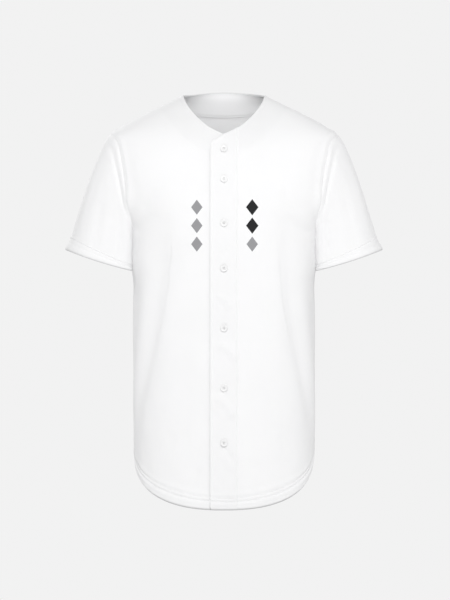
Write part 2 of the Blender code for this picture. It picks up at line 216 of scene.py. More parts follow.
# Grooves (depth above 0) and rolls of a body panel beside its edges: edge, distance from it, width, depth
ARMHOLE_DIPS = (("armhole", 0.0, 0.0022, 0.0007), ("armhole", 0.0090, 0.0042, -0.0011))
PANEL_DIPS = (
    *ARMHOLE_DIPS,
    ("armhole", 0.020, 0.008, 0.0006),
    ("shoulder", 0.0, 0.0018, 0.0006),
    ("neck", 0.0055, 0.0012, 0.00035),
    ("neck", 0.0025, 0.0020, -0.0003),
    ("neck", 0.046, 0.0030, 0.0006),
    ("side", 0.0, 0.0020, 0.0005),
)

# Fullness of the body beside the sleeve, and of the sleeve near its seam: turn in degrees, width, height
BODY_BULGES = ((90, 16, 0.0056), (70, 14, 0.0072))
SLEEVE_BULGES = ((141, 27, 0.0090), (218, 26, 0.0060))

# Folds of a sleeve: turn round the arm from the shoulder tip and distance from the armhole of both ends,
# width, depth
SLEEVE_FOLDS = (
    (20.0, 0.019, 140.0, 0.021, 0.0060, -0.0026),
    (24.0, 0.0065, 130.0, 0.0065, 0.0045, 0.0010),
    (60.0, 0.060, 82.0, 0.200, 0.0120, -0.0016),
    (20.0, 0.050, 38.0, 0.190, 0.0120, 0.0012),
    (112.0, 0.040, 128.0, 0.120, 0.0100, -0.0016),
    (335.0, 0.014, 235.0, 0.018, 0.0075, -0.0026),
    (300.0, 0.060, 284.0, 0.190, 0.0130, -0.0018),
    (262.0, 0.050, 250.0, 0.150, 0.0120, 0.0014),
)
ROUND_THE_ARM = 60  # a fold that turns by more degrees than this runs round the arm, any other down it

# Plain marks on the chest: middle across, middle height, half width, half height
GREY_DIAMONDS = (
    (-0.0500, -0.2130, 0.0105, 0.0140),
    (-0.0500, -0.2470, 0.0105, 0.0140),
    (-0.0500, -0.2810, 0.0105, 0.0140),
    (0.0520, -0.2810, 0.0105, 0.0140),
)
BLACK_DIAMONDS = (
    (0.0520, -0.2130, 0.0115, 0.0150),
    (0.0520, -0.2470, 0.0115, 0.0150),
)

# Rows of stitches beside the edges of a panel: piece, edge, distance from it
EDGE_STITCHES = (
    ("neck_stitches", "neck", 0.0055),
    ("seam_stitches", "armhole", 0.0035),
    ("seam_stitches", "shoulder", 0.0035),
)

# Button: steps of its hollow face (inward, down), rounding of its rim, thickness of the thread in its holes;
# buttonhole: half length and half width of the ring, thickness of a stitch
BUTTON_STEPS = ((0.0016, 0), (0.0012, -0.00045), (0.0010, -0.0001))
RIM_ROUND = 0.0009
BUTTON_THREAD = 0.00024
HOLE_HALF = 0.0088
HOLE_WIDE = 0.0011
HOLE_THREAD = 0.00021

# Studio
FLOOR_RADIUS = 4.8
FLOOR_HEIGHT = -1.35
KEY_AIM = (0, 0, -0.25)
NECK_PLACE = (0.0, -2.6, 0.0)
NECK_AIM = (0, 0, -0.03)
REAR_PLACE = (-0.35, 1.0, 0.5)


def jersey():
    return bpy.context.scene.jersey


class JerseyCloth(bpy.types.PropertyGroup):
    wall: FloatProperty(name="Wall", description="Thickness of the knit", default=0.0012, unit="LENGTH")
    hem_layer: FloatProperty(
        name="Hem layer", description="Extra thickness of a turned-up hem", default=0.0009, unit="LENGTH"
    )
    hem_depth: FloatProperty(
        name="Hem depth", description="Height of the turned-up body hem", default=0.022, unit="LENGTH"
    )
    sleeve_hem: FloatProperty(
        name="Sleeve hem", description="Height of the turned-up sleeve hem", default=0.018, unit="LENGTH"
    )
    needle_gap: FloatProperty(
        name="Needle gap", description="Distance between a hem's two rows of stitching", default=0.0062,
        unit="LENGTH",
    )
    colour: FloatVectorProperty(
        name="Cloth", description="Colour of the knit", subtype="COLOR", default=(0.88, 0.88, 0.885)
    )
    thread: FloatVectorProperty(
        name="Thread", description="Colour of the stitching", subtype="COLOR", default=(0.88, 0.88, 0.88)
    )
    # Painted light: the knit's wrong side is given a lighter colour than its face, which brightens the inside of the
    # neck.
    inside: FloatProperty(
        name="Inside", description="How light the knit's wrong side is, compared with its face", default=1.07
    )
    rib: FloatProperty(
        name="Rib", description="Distance from one column of knit loops to the next", default=0.0014,
        unit="LENGTH",
    )


class JerseyButtons(bpy.types.PropertyGroup):
    radius: FloatProperty(name="Radius", description="Radius of a button", default=0.0070, unit="LENGTH")
    thick: FloatProperty(
        name="Thickness", description="Thickness of a button at its rim", default=0.0026, unit="LENGTH"
    )
    rim: FloatProperty(
        name="Rim", description="Height of the rounded rim over the button's back", default=0.0022,
        unit="LENGTH",
    )
    hole: FloatProperty(name="Hole", description="Radius of a thread hole", default=0.0008, unit="LENGTH")
    spread: FloatProperty(
        name="Spread", description="Distance of the holes from the middle", default=0.0017, unit="LENGTH"
    )
    colour: FloatVectorProperty(
        name="Button", description="Colour of the buttons", subtype="COLOR", default=(0.85, 0.85, 0.85)
    )


class JerseyPrint(bpy.types.PropertyGroup):
    grey: FloatVectorProperty(
        name="Grey ink", description="Colour of the grey diamonds", subtype="COLOR", default=(0.30, 0.30, 0.31)
    )
    black: FloatVectorProperty(
        name="Black ink", description="Colour of the black diamonds", subtype="COLOR",
        default=(0.012, 0.012, 0.013),
    )


class JerseyStage(bpy.types.PropertyGroup):
    distance: FloatProperty(
        name="Distance", description="From the camera to the middle of the jersey", default=7.0, unit="LENGTH"
    )
    view_height: FloatProperty(
        name="View height", description="Height that the picture takes in", default=1.1238, unit="LENGTH"
    )
    aim: FloatVectorProperty(
        name="Aim", description="Point in the middle of the picture", subtype="XYZ", unit="LENGTH",
        default=(0.0019, 0.0, -0.3838),
    )
    front_light: FloatProperty(
        name="Front light", description="Strength of the even light straight from the front", default=0.30
    )
    room_light: FloatProperty(
        name="Room light", description="Strength of the even light from the sides", default=1.26
    )
    back_light: FloatProperty(
        name="Back light", description="Strength of the even light straight from behind", default=0.72
    )
    overhead_dim: FloatProperty(
        name="Overhead dimming", description="Share of the room light that is missing overhead", default=0.60
    )
    key_light: FloatProperty(
        name="Key light", description="Power of the broad light over the camera, in watts", default=117.0
    )
    key_place: FloatVectorProperty(
        name="Key place", description="Where the broad light stands", subtype="XYZ", unit="LENGTH",
        default=(0.15, -4.2, 1.55),
    )
    neck_light: FloatProperty(
        name="Neck light", description="Power of the light that reaches into the neck, in watts", default=29.0
    )
    rear_light: FloatProperty(
        name="Rear light", description="Strength of the broad light behind the jersey", default=0.85
    )
    backdrop_light: FloatProperty(
        name="Backdrop light", description="Brightness of the plain backdrop", default=0.887
    )
    floor: FloatVectorProperty(
        name="Floor", description="Colour of the floor", subtype="COLOR", default=(0.80, 0.80, 0.80)
    )


class JerseySettings(bpy.types.PropertyGroup):
    cloth: PointerProperty(name="Cloth", description="Sizes and colours of the cloth", type=JerseyCloth)
    buttons: PointerProperty(name="Buttons", description="Sizes and colour of the buttons", type=JerseyButtons)
    ink: PointerProperty(name="Print", description="Colours of the marks on the chest", type=JerseyPrint)
    stage: PointerProperty(name="Stage", description="Camera, lights and backdrop", type=JerseyStage)


# Lines and the body's surface


def unit(vectors):
    return vectors / np.linalg.norm(vectors, axis=-1, keepdims=True)


def fade(distance, width):
    """1 on a line, falling off softly over this width."""
    return np.exp(-((distance / width) ** 2))


def dip(distance, width, depth):
    return -depth * fade(distance, width)


def sided(array, side):
    """Points or directions of the wearer's left, mirrored for the right, side -1."""
    return array if side > 0 else array * (-1.0, 1.0, 1.0)


def smooth(xs, ys, at):
    """Values at AT on a smooth curve through the points (xs, ys), with xs rising."""
    xs = np.asarray(xs, float)
    ys = np.asarray(ys, float)
    slopes = np.gradient(ys, xs)
    at = np.clip(at, xs[0], xs[-1])
    cell = np.clip(np.searchsorted(xs, at) - 1, 0, len(xs) - 2)
    width = xs[cell + 1] - xs[cell]
    t = (at - xs[cell]) / width
    start = (1 + 2 * t) * (1 - t) ** 2 * ys[cell] + t * (1 - t) ** 2 * width * slopes[cell]
    end = t * t * (3 - 2 * t) * ys[cell + 1] - t * t * (1 - t) * width * slopes[cell + 1]
    return start + end


def lengths_of(points, axis=0):
    """How far along each row or column of points lies, from 0 at the first."""
    steps = np.linalg.norm(np.diff(points, axis=axis), axis=-1)
    return np.concatenate([0 * steps.take([0], axis), np.cumsum(steps, axis)], axis=axis)


def between(wanted, lengths, values):
    """Points or directions along a line, at the wanted lengths."""
    return np.stack([np.interp(wanted, lengths, values[:, i]) for i in range(3)], axis=-1)


def along(curve, shares):
    """Points at these shares of the length of a finely drawn curve."""
    lengths = lengths_of(curve)
    return between(lengths[-1] * np.asarray(shares), lengths, curve)


def bands(*stops):
    """Rising shares from 0 to 1: (share, steps) says how many even steps lead up to each share."""
    shares, last = [0.0], 0.0
    for share, steps in stops:
        shares += list(last + (share - last) * np.arange(1, steps + 1) / steps)
        last = share
    return np.array(shares)


def section(z, column):
    rows = np.array(SECTIONS)[::-1]
    return smooth(rows[:, 0], rows[:, SECTION_COLUMNS.index(column)], z)


def depth_at(x, z, face):
    """How far in front of or behind the side seams the cloth lies, at x and height z."""
    across = np.clip(np.abs(x) / section(z, "half_width"), 0, 1)
    return section(z, face) * (1 - across ** SQUARENESS) ** (1 / SQUARENESS)


def on_face(x, z, face="front"):
    depth = depth_at(x, z, face)
    return np.stack([x, -depth if face == "front" else depth, z], axis=-1)


def on_side(z):
    """Points on the shoulder or the side seam, at these heights."""
    return np.stack([section(z, "half_width"), np.zeros_like(z), z], axis=-1)


def fold_height(points):
    """How far the body's folds lift the cloth outwards at these points."""
    z = points[..., 2]
    angle = np.degrees(np.arctan2(np.abs(points[..., 0]), -points[..., 1]))
    lift = np.zeros_like(z)
    for top, middle, bottom, angle_top, angle_middle, angle_bottom, width, depth in BODY_FOLDS:
        line = smooth((bottom, middle, top), (angle_bottom, angle_middle, angle_top), z)
        share = np.clip((z - bottom) / (top - bottom), 0, 1)
        off = np.radians(angle - line) * FOLD_RADIUS
        lift += depth * np.sin(math.pi * share ** 0.8) ** 1.2 * fade(off, width)
    return lift


def level(points):
    """Distance from the cloth's outer face, roughly: above 0 outside it."""
    x, y, z = points[..., 0], points[..., 1], points[..., 2]
    face = np.where(y < 0, section(z, "front"), section(z, "back"))
    wide = np.abs(x) / section(z, "half_width")
    ring = (wide ** SQUARENESS + (np.abs(y) / face) ** SQUARENESS) ** (1 / SQUARENESS)
    return (ring - 1) / np.maximum(ring, 0.2) * np.hypot(x, y) - fold_height(points)


def slope(points, step=1e-4):
    shifts = step * np.eye(3)
    return np.stack([(level(points + shift) - level(points - shift)) / (2 * step) for shift in shifts], axis=-1)


def normals_of(points):
    return unit(slope(points))


def onto_cloth(points):
    """Moves points the short way onto the cloth's outer face."""
    for _ in range(8):
        direction = slope(points)
        square = np.maximum((direction ** 2).sum(axis=-1, keepdims=True), 0.05)
        points = points - level(points)[..., None] * direction / square
    return points


def out_to_cloth(points):
    """Moves points straight out from the upright middle line onto the cloth's outer face."""
    for _ in range(10):
        out = points[..., :2] / np.hypot(points[..., 0], points[..., 1])[..., None]
        points = points.copy()
        points[..., :2] -= level(points)[..., None] * out
    return points


def distance_to(points, line):
    """Distance of each point from a finely drawn line."""
    tree = kdtree.KDTree(len(line))
    for index, place in enumerate(line):
        tree.insert(place, index)
    tree.balance()
    found = np.array([tree.find(place)[2] for place in points.reshape(-1, 3)])
    return found.reshape(points.shape[:-1])


# Edges of a panel


def neck_height(x):
    rows = np.array(NECKLINE)
    return smooth(rows[:, 0], rows[:, 1], x)


def neckline(start, face):
    x = start + (NECK_POINT - start) * np.sin(np.linspace(0, math.pi / 2, 400))
    z = neck_height(x) if face == "front" else BACK_NECK_RISE * (1 - (x / NECK_POINT) ** 2)
    return on_face(x, z, face)


def shoulder():
    return on_side(np.linspace(0, TIP_HEIGHT, 400))


def armhole(face):
    rows = np.array(ARMHOLES[face])
    step = np.arange(len(rows))
    fine = np.linspace(0, len(rows) - 1, 600)
    z = smooth(step, rows[:, 0], fine)
    x = np.minimum(smooth(step, rows[:, 1], fine), section(z, "half_width"))
    curve = on_face(x, z, face)
    curve[[0, -1], 1] = 0
    return curve


def hem_height(toward_middle):
    """Height of the hem, from 0 at the side seam to 1 at the middle of the front or back."""
    fuller = toward_middle ** HEM_FULLNESS
    rounded = np.sqrt(fuller ** 2 + HEM_ROUNDING ** 2) - HEM_ROUNDING
    return HEM_SIDE_HEIGHT - HEM_DROP * rounded / (math.hypot(1, HEM_ROUNDING) - HEM_ROUNDING)


def hem(start, face):
    across = np.sin(np.linspace(math.asin(start / HEM_HALF_WIDTH), math.pi / 2, 600))
    z = hem_height((1 - np.abs(across) ** SQUARENESS) ** (1 / SQUARENESS))
    return out_to_cloth(on_face(across * section(z, "half_width"), z, face))


def seam_lines(start, face):
    """The edges of a half panel as finely drawn lines, by name."""
    fine = np.linspace(0, 1, 200)
    return {
        "neck": along(neckline(start, face), fine),
        "shoulder": along(shoulder(), fine),
        "armhole": along(armhole(face), np.linspace(0, 1, 300)),
        "side": out_to_cloth(on_side(np.linspace(UNDERARM_HEIGHT, HEM_SIDE_HEIGHT, 500))),
    }


# Grids of a panel


def hem_rows(depth, *below):
    """Shares of a hem's height, from its top edge down, close together at its two rows of stitching."""
    second = jersey().cloth.needle_gap / depth
    near = 0.0008 / depth
    shares = bands((near, 1), (second - near, 3), (second, 1), (second + near, 1), *below)
    return HEM_TOP + HEM_SHARE * shares[1:]


def body_hem_rows():
    return hem_rows(jersey().cloth.hem_depth, (0.9, 8), (1.0, 6))


def panel_columns():
    """Shares of a half panel's width, closer at the neck point and near the armhole."""
    return bands((NECK_SHARE - 0.02, 26), (NECK_SHARE + 0.02, 5), (0.93, 26), (0.985, 8), (1.0, 5))


def panel_rows():
    """Shares of a panel's height, closer near the neck and the shoulder seam and at the hem's stitching."""
    under = bands((0.04, 6), (0.14, 8), (0.97, 44), (1.0, 3)) * ARMHOLE_SHARE
    side = ARMHOLE_SHARE + (HEM_TOP - ARMHOLE_SHARE) * bands((0.01, 1), (0.985, 100), (1.0, 2))[1:]
    return np.concatenate([under, side, body_hem_rows()])


def lengthwise(top, middle, bottom, rows):
    """Heights at these shares of a line that is level with the underarm at MIDDLE and ends in the hem."""
    stops = (0, ARMHOLE_SHARE, HEM_TOP, 1)
    return np.interp(rows, stops, (top, middle, bottom + jersey().cloth.hem_depth, bottom))


def half_panel(start, face, columns, rows):
    """A grid [row, column] of half a front or back, for the wearer's left, laid onto the cloth's face."""
    neck = columns[columns <= NECK_SHARE + TINY]
    rest = columns[columns > NECK_SHARE + TINY]
    top = np.concatenate([
        along(neckline(start, face), neck / neck[-1]),
        along(shoulder(), (rest - NECK_SHARE) / (1 - NECK_SHARE)),
    ])
    bottom = along(hem(start, face), columns)
    heights = lengthwise(top[0, 2], MIDDLE_LEVEL, bottom[0, 2], rows)
    middle = on_face(np.full(len(heights), start), heights, face)
    upper = rows[rows <= ARMHOLE_SHARE + TINY] / ARMHOLE_SHARE
    side_heights = lengthwise(0, UNDERARM_HEIGHT, bottom[-1, 2], rows)[len(upper) :]
    side = np.concatenate([along(armhole(face), upper), out_to_cloth(on_side(side_heights))])
    u = columns[None, :, None]
    v = rows[:, None, None]
    across = (1 - u) * middle[:, None] + u * side[:, None]
    down = (1 - v) * top[None] + v * bottom[None]
    corners = (1 - u) * ((1 - v) * top[0] + v * bottom[0]) + u * ((1 - v) * top[-1] + v * bottom[-1])
    grid = across + down - corners
    grid[1:-1, 1:-1] = onto_cloth(grid[1:-1, 1:-1])
    return grid


# Relief


def ripple(points, size, seed, upright=1.0):
    """Soft uneven swell between -1 and 1, SIZE metres across, from a few crossing waves."""
    draw = np.random.default_rng(seed)
    points = points * (1.0, 1.0, upright)
    total = np.zeros(points.shape[:-1])
    for _ in range(9):
        direction = draw.normal(size=3)
        direction *= (0.6 + 0.8 * draw.random()) * math.pi / size / np.linalg.norm(direction)
        total += np.sin(points @ direction + draw.random() * 2 * math.pi)
    return total / 4.5


def crease_height(points):
    """How far the short creases of the front lift the cloth."""
    x, z = points[..., 0], points[..., 2]
    lift = np.zeros_like(x)
    for from_x, from_z, to_x, to_z, width, depth in CREASES:
        run = np.array([to_x - from_x, to_z - from_z])
        length = np.hypot(*run)
        run /= length
        t = ((x - from_x) * run[0] + (z - from_z) * run[1]) / length
        bow = 0.12 * length * np.sin(math.pi * np.clip(t, 0, 1))
        away = (x - from_x) * run[1] - (z - from_z) * run[0] + bow
        past = np.clip(np.abs(t - 0.5) * 2 - 0.55, 0, None)
        lift += depth * fade(away, width) * fade(past, 0.3) * (points[..., 1] < 0)
    return lift


def armhole_swell(points, away):
    """How far body and sleeve stand out together on both sides of the lower front armhole."""
    low = fade(points[..., 2] + 0.205, 0.030) * np.clip(-points[..., 1] / 0.03, 0, 1)
    return 0.0075 * low * fade(away, 0.020)


def slow_swell(points):
    return 0.0007 * ripple(points, 0.05, 3, upright=0.5)


def panel_lift(points):
    """Creases and slow swell of the fronts and the back. The placket's creases fade beyond it."""
    beyond = np.clip((np.abs(points[..., 0]) - 0.030) / 0.012, 0, 1)
    return (0.25 + 0.75 * beyond) * crease_height(points) + slow_swell(points)


def body_relief(grid, away, side):
    """How far a body panel's small forms lift it. AWAY holds its distances from its edges, by name."""
    lift = panel_lift(sided(grid, side)) + 0.00018 * ripple(sided(grid, side), 0.014, 4, upright=0.7)
    lift += armhole_swell(grid, away["armhole"])
    for edge, place, width, depth in PANEL_DIPS:
        lift += dip(away[edge] - place, width, depth)
    turn = np.degrees(np.arctan2(np.abs(grid[..., 0]), np.abs(grid[..., 1])))
    beside_sleeve = np.exp(-(((grid[..., 2] + 0.278) / 0.062) ** 4)) * (1 - fade(away["armhole"], 0.014))
    for middle, width, height in BODY_BULGES:
        lift += height * beside_sleeve * fade(turn - middle, width)
    return lift


def below_hem_top(rows, depth):
    """How far below the top of a hem of this depth each row lies, as a column."""
    return ((rows - HEM_TOP) / HEM_SHARE * depth)[:, None]


def turned_up(down, depth, roll=0.0038, sewn=1.0):
    """Relief of a turned-up hem: two stitched grooves with fuller cloth round them, and a rolled lower edge."""
    gap = jersey().cloth.needle_gap
    relief = sewn * (dip(down, 0.0013, 0.0010) + dip(down - gap, 0.0016, 0.0014))
    relief += dip(down + 0.0030, 0.0020, -0.0009) + dip(down - gap - 0.0048, 0.0032, -0.0009)
    relief += 0.0003 * (down > -0.0005) * (1 - np.exp(-np.clip(down, 0, None) / 0.002))
    into = np.clip(down - (depth - roll), 0, roll * 0.92)
    return relief - (roll - np.sqrt(roll ** 2 - into ** 2))


def body_hem_relief(rows):
    depth = jersey().cloth.hem_depth
    return turned_up(below_hem_top(rows, depth), depth)


def painted_hem_shade(rows, depth, dark):
    """Painted shade for each row: the cloth's colour is made softly greyer at a hem's folded edge, standing in for the
    shade there.
    """
    return 1 - dark * fade(depth - below_hem_top(rows, depth), 0.0022)


# Painted shade at the body hem's folded edge.
def body_painted_hem_shade(rows):
    return painted_hem_shade(rows, jersey().cloth.hem_depth, 0.42)


def inside_of(outer, normals, rows):
    """The inner face of a panel or sleeve, farther in where its hem is turned up."""
    cloth = jersey().cloth
    thick = cloth.wall + cloth.hem_layer * (rows >= HEM_TOP - TINY)
    return outer - thick[:, None, None] * normals


def edge_of_placket(points):
    """Distance from the placket's free edge: its left side and the slanting part of its top."""
    x = points[..., 0]
    below_top = (neck_height(x) - points[..., 2]) * 0.7 + 0.02 * np.clip(x / 0.004, 0, 1)
    return np.minimum(x - PLACKET_LEFT, below_top)


def placket_lift(points):
    """How far the placket lies off its even face: creases, swell, a hollow middle and a proud free edge."""
    proud = 0.0016 * fade(edge_of_placket(points), 0.0075)
    hollow = dip(points[..., 0] - 0.002, 0.011, 0.0006)
    return 1.5 * crease_height(points) + slow_swell(points) + proud + hollow


# Meshes


def only(obj):
    """Selects this object alone and makes it active."""
    bpy.ops.object.select_all(action="DESELECT")
    obj.select_set(True)
    bpy.context.view_layer.objects.active = obj


def edit_all(obj, operator, **settings):
    """Runs an Edit Mode operator on the whole mesh."""
    only(obj)
    bpy.ops.object.mode_set(mode="EDIT")
    bpy.ops.mesh.select_all(action="SELECT")
    operator(**settings)
    bpy.ops.object.mode_set(mode="OBJECT")


def shade(obj, degrees):
    only(obj)
    bpy.ops.object.shade_smooth_by_angle(angle=math.radians(degrees))
    obj.select_set(False)


def wear(obj, material):
    obj.data.materials.clear()
    obj.data.materials.append(material)


def new_object(name, points, faces):
    mesh = bpy.data.meshes.new(name)
    mesh.from_pydata(np.asarray(points).tolist(), [], faces)
    obj = bpy.data.objects.new(name, mesh)
    bpy.context.collection.objects.link(obj)
    return obj


def knit_map(mesh, grid, faces):
    """A UV map in metres along the cloth, so that the knit follows the panel."""
    across = lengths_of(grid, 1)
    u = (across - across[:, [across.shape[1] // 2]]).reshape(-1)
    v = -lengths_of(grid).reshape(-1)
    corners = np.array(faces).reshape(-1) % len(u)
    layer = mesh.uv_layers.new(name="knit")
    layer.data.foreach_set("uv", np.stack([u[corners], v[corners]], axis=-1).reshape(-1))


def rim(edge, under):
    """Faces that join the outer grid's edge to the inner grid's."""
    return np.stack([edge[:-1], edge[1:], edge[1:] + under, edge[:-1] + under], axis=1)


def shell(name, outer, inner, painted_shades, closed):
    """One closed thin shell between two grids [row, column], with the painted shade of the cloth's face at each point.
    """
    painted_shades = painted_shades * np.ones(outer.shape[:2])
    row, column = outer.shape[0] // 2, outer.shape[1] // 3
    down = outer[row + 1, column] - outer[row, column]
    right = outer[row, column + 1] - outer[row, column]
    if np.dot(np.cross(down, right), outer[row, column] - inner[row, column]) < 0:
        outer, inner, painted_shades = outer[:, ::-1], inner[:, ::-1], painted_shades[:, ::-1]
    if closed:
        outer, inner, painted_shades = (np.concatenate([part, part[:, :1]], axis=1) for part in (outer, inner, painted_shades))
    under = painted_shades.size
    index = np.arange(under).reshape(painted_shades.shape)
    a, b, c, d = (part.reshape(-1) for part in (index[:-1, :-1], index[:-1, 1:], index[1:, 1:], index[1:, :-1]))
    faces = [np.stack([a, d, c, b], axis=1), np.stack([a, b, c, d], axis=1) + under]
    faces += [rim(index[0], under), rim(index[-1, ::-1], under)]
    if not closed:
        faces += [rim(index[::-1, 0], under), rim(index[:, -1], under)]
    faces = np.concatenate(faces).tolist()
    obj = new_object(name, np.concatenate([outer.reshape(-1, 3), inner.reshape(-1, 3)]), faces)
    knit_map(obj.data, outer, faces)
    # The 'shade' attribute holds painted shade for the outer face, and the same times the inside factor, painted
    # light, for the inner face.
    layer = obj.data.attributes.new("shade", "FLOAT", "POINT")
    light = painted_shades.reshape(-1)
    layer.data.foreach_set("value", np.concatenate([light, light * jersey().cloth.inside]))
    if closed:
        edit_all(obj, bpy.ops.mesh.remove_doubles, threshold=1e-6)
    shade(obj, 50)
    return obj


def cloth_piece(node, grids, painted_shades, material, held, rests_on, widest=slice(None), closed=False):
    """A piece of cloth that stands for this node and rides with the jersey."""
    outer, inner = grids
    obj = shell(node + "_cloth", outer, inner, painted_shades, closed)
    wear(obj, material)
    if closed:
        outer = np.concatenate([outer, outer[:, :1]], axis=1)
    across = lengths_of(outer[widest], 1).max()
    down = lengths_of(outer).max()
    first = np.cross(outer[1:, :-1] - outer[:-1, :-1], outer[:-1, 1:] - outer[:-1, :-1])
    second = np.cross(outer[1:, :-1] - outer[1:, 1:], outer[:-1, 1:] - outer[1:, 1:])
    area = 0.5 * sum(np.linalg.norm(half, axis=-1).sum() for half in (first, second))
    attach(obj, BODY)
    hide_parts(node)


# Node trees


def fill(tree, socket, value):
    """Sets a socket to a value, or links it to another node's output."""
    if isinstance(value, bpy.types.NodeSocket):
        tree.links.new(value, socket)
    else:
        socket.default_value = value


def node(tree, kind, **values):
    """A new node with these properties and inputs."""
    made = tree.nodes.new("ShaderNode" + kind)
    for name, value in values.items():
        if hasattr(made, name):
            setattr(made, name, value)
        else:
            fill(tree, made.inputs[name.replace("_", " ")], value)
    return made


def math_node(tree, operation, *values):
    made = node(tree, "Math", operation=operation)
    for socket, value in zip(made.inputs, values):
        fill(tree, socket, value)
    return made.outputs[0]


def colour_mix(tree, factor, first, second, blend="MIX"):
    made = node(tree, "Mix", data_type="RGBA", blend_type=blend, Factor=factor)
    fill(tree, made.inputs[6], first)
    fill(tree, made.inputs[7], second)
    return made.outputs[2]


def new_surface(name, colour, roughness):
    """A new material, its tree, its surface and the texture coordinates."""
    material = bpy.data.materials.new(name)
    material.use_nodes = True
    tree = material.node_tree
    surface = tree.nodes["Principled BSDF"]
    surface.inputs["Base Color"].default_value = (*colour, 1)
    surface.inputs["Roughness"].default_value = roughness
    return material, tree, surface, node(tree, "TexCoord").outputs


def raise_surface(tree, surface, height, strength, distance):
    bump = node(tree, "Bump", Strength=strength, Distance=distance, Height=height)
    tree.links.new(bump.outputs["Normal"], surface.inputs["Normal"])


def clouded(tree, place, colour, darkest, ends, **noise):
    """The colour with soft clouds over it, down to this share of its lightness."""
    cloud = node(tree, "TexNoise", Vector=place["Object"], Detail=3.0, **noise)
    tint = node(tree, "ValToRGB", Fac=cloud.outputs["Fac"])
    for stop, position, light in zip(tint.color_ramp.elements, ends, (darkest, 1)):
        stop.position = position
        stop.color = (*[light * part for part in colour], 1)
    return tint.outputs["Color"]


def knit_material(name, printed=False, shade=1.0):
    """White polyester knit: fine columns of loops, a soft sheen, slight clouding, and ink where it is printed. SHADE
    paints a whole copy lighter or darker, and the 'shade' attribute multiplies in painted shade and light.
    """
    cloth = jersey().cloth
    colour = [shade * part for part in cloth.colour]
    material, tree, surface, place = new_surface(name, colour, 0.78)
    surface.inputs["Sheen Weight"].default_value = 0.22
    surface.inputs["Sheen Roughness"].default_value = 0.45
    surface.inputs["Specular IOR Level"].default_value = 0.28
    calc = partial(math_node, tree)
    split = node(tree, "SeparateXYZ", Vector=place["UV"]).outputs
    turns = 2 * math.pi / cloth.rib
    columns = calc("SINE", calc("MULTIPLY", split["X"], turns))
    lean = calc("MULTIPLY", calc("SINE", calc("MULTIPLY", split["X"], 2 * turns)), 1.2)
    loops = calc("SINE", calc("MULTIPLY_ADD", split["Y"], turns * 1.25, lean))
    knit = calc("ADD", calc("MULTIPLY", columns, 0.6), calc("MULTIPLY", loops, 0.4))
    fuzz = node(tree, "TexNoise", Vector=place["UV"], Scale=2600.0, Detail=2.0)
    raise_surface(tree, surface, calc("ADD", knit, fuzz.outputs["Fac"]), 0.22, 0.00025)
    ground = clouded(tree, place, colour, 0.985, (0.35, 0.65), Scale=9.0)
    # Painted shade and light: the colour is multiplied by the per-point 'shade' attribute.
    soft = node(tree, "Attribute", attribute_name="shade")
    ground = colour_mix(tree, 1.0, ground, soft.outputs["Fac"], "MULTIPLY")
    if printed:
        ground = add_print(tree, place, ground)
    tree.links.new(ground, surface.inputs["Base Color"])
    return material


def diamond_mask(calc, x, z, rows):
    """1 inside any of the diamonds, 0 outside, as a chain of math nodes."""
    inside = None
    for middle_x, middle_z, half_width, half_height in rows:
        across = calc("DIVIDE", calc("ABSOLUTE", calc("SUBTRACT", x, middle_x)), half_width)
        upward = calc("DIVIDE", calc("ABSOLUTE", calc("SUBTRACT", z, middle_z)), half_height)
        mask = calc("LESS_THAN", calc("ADD", across, upward), 1.0)
        inside = mask if inside is None else calc("MAXIMUM", inside, mask)
    return inside


def add_print(tree, place, ground):
    """Lays the two inks over the knit's colour. They face the front, so they read the object's X and Z."""
    split = node(tree, "SeparateXYZ", Vector=place["Object"]).outputs
    inks = jersey().ink
    for rows, colour in ((GREY_DIAMONDS, inks.grey), (BLACK_DIAMONDS, inks.black)):
        mask = diamond_mask(partial(math_node, tree), split["X"], split["Z"], rows)
        ground = colour_mix(tree, mask, ground, (*colour, 1))
    return ground


def thread_material():
    material, tree, surface, place = new_surface("white thread", jersey().cloth.thread, 0.5)
    surface.inputs["Sheen Weight"].default_value = 0.3
    twist = node(tree, "TexWave", wave_type="BANDS", Scale=900.0, Distortion=1.0, Vector=place["Object"])
    raise_surface(tree, surface, twist.outputs["Fac"], 0.35, 0.0001)
    return material


def button_material():
    colour = jersey().buttons.colour
    material, tree, surface, place = new_surface("pearly button", colour, 0.5)
    surface.inputs["Coat Weight"].default_value = 0.12
    surface.inputs["Coat Roughness"].default_value = 0.35
    face = clouded(tree, place, colour, 0.93, (0.3, 0.7), Scale=160.0, Distortion=1.5)
    tree.links.new(face, surface.inputs["Base Color"])
    return material


# Fronts and back


def body_painted_shades(neck_away, rows, painted_neck_shade):
    """Painted shade of a body panel: its colour is made a little greyer, standing in for shade, over the facing that
    lies behind its neck and at its edges.
    """
    facing_painted_shade = 1 - 0.020 / (1 + np.exp((neck_away - 0.046) / 0.0012))
    return (facing_painted_shade - painted_neck_shade * fade(neck_away, 0.0020)) * body_painted_hem_shade(rows)


def distances(grid, start, face):
    return {name: distance_to(grid, line) for name, line in seam_lines(start, face).items()}


def body_panels(start, face, sides, painted_neck_shade=0.0):
    """For each side, the grids of a front's or the back's outer and inner face. Then their painted shade."""
    rows = panel_rows()
    grid = half_panel(start, face, panel_columns(), rows)
    away = distances(grid, start, face)
    normals = normals_of(grid)
    share_armhole(grid, normals, rows, face)
    panels = []
    for side in sides:
        lift = body_relief(grid, away, side) + body_hem_relief(rows)
        outer = grid + lift[..., None] * normals
        panels.append((sided(outer, side), sided(inside_of(outer, normals, rows), side)))
    return panels, body_painted_shades(away["neck"], rows, painted_neck_shade)


def below_armhole():
    return panel_rows() >= 0.6 * ARMHOLE_SHARE


def both_sides(right, left):
    """One grid from two halves that share their first column, the middle line."""
    return np.concatenate([right[:, :0:-1], left], axis=1)


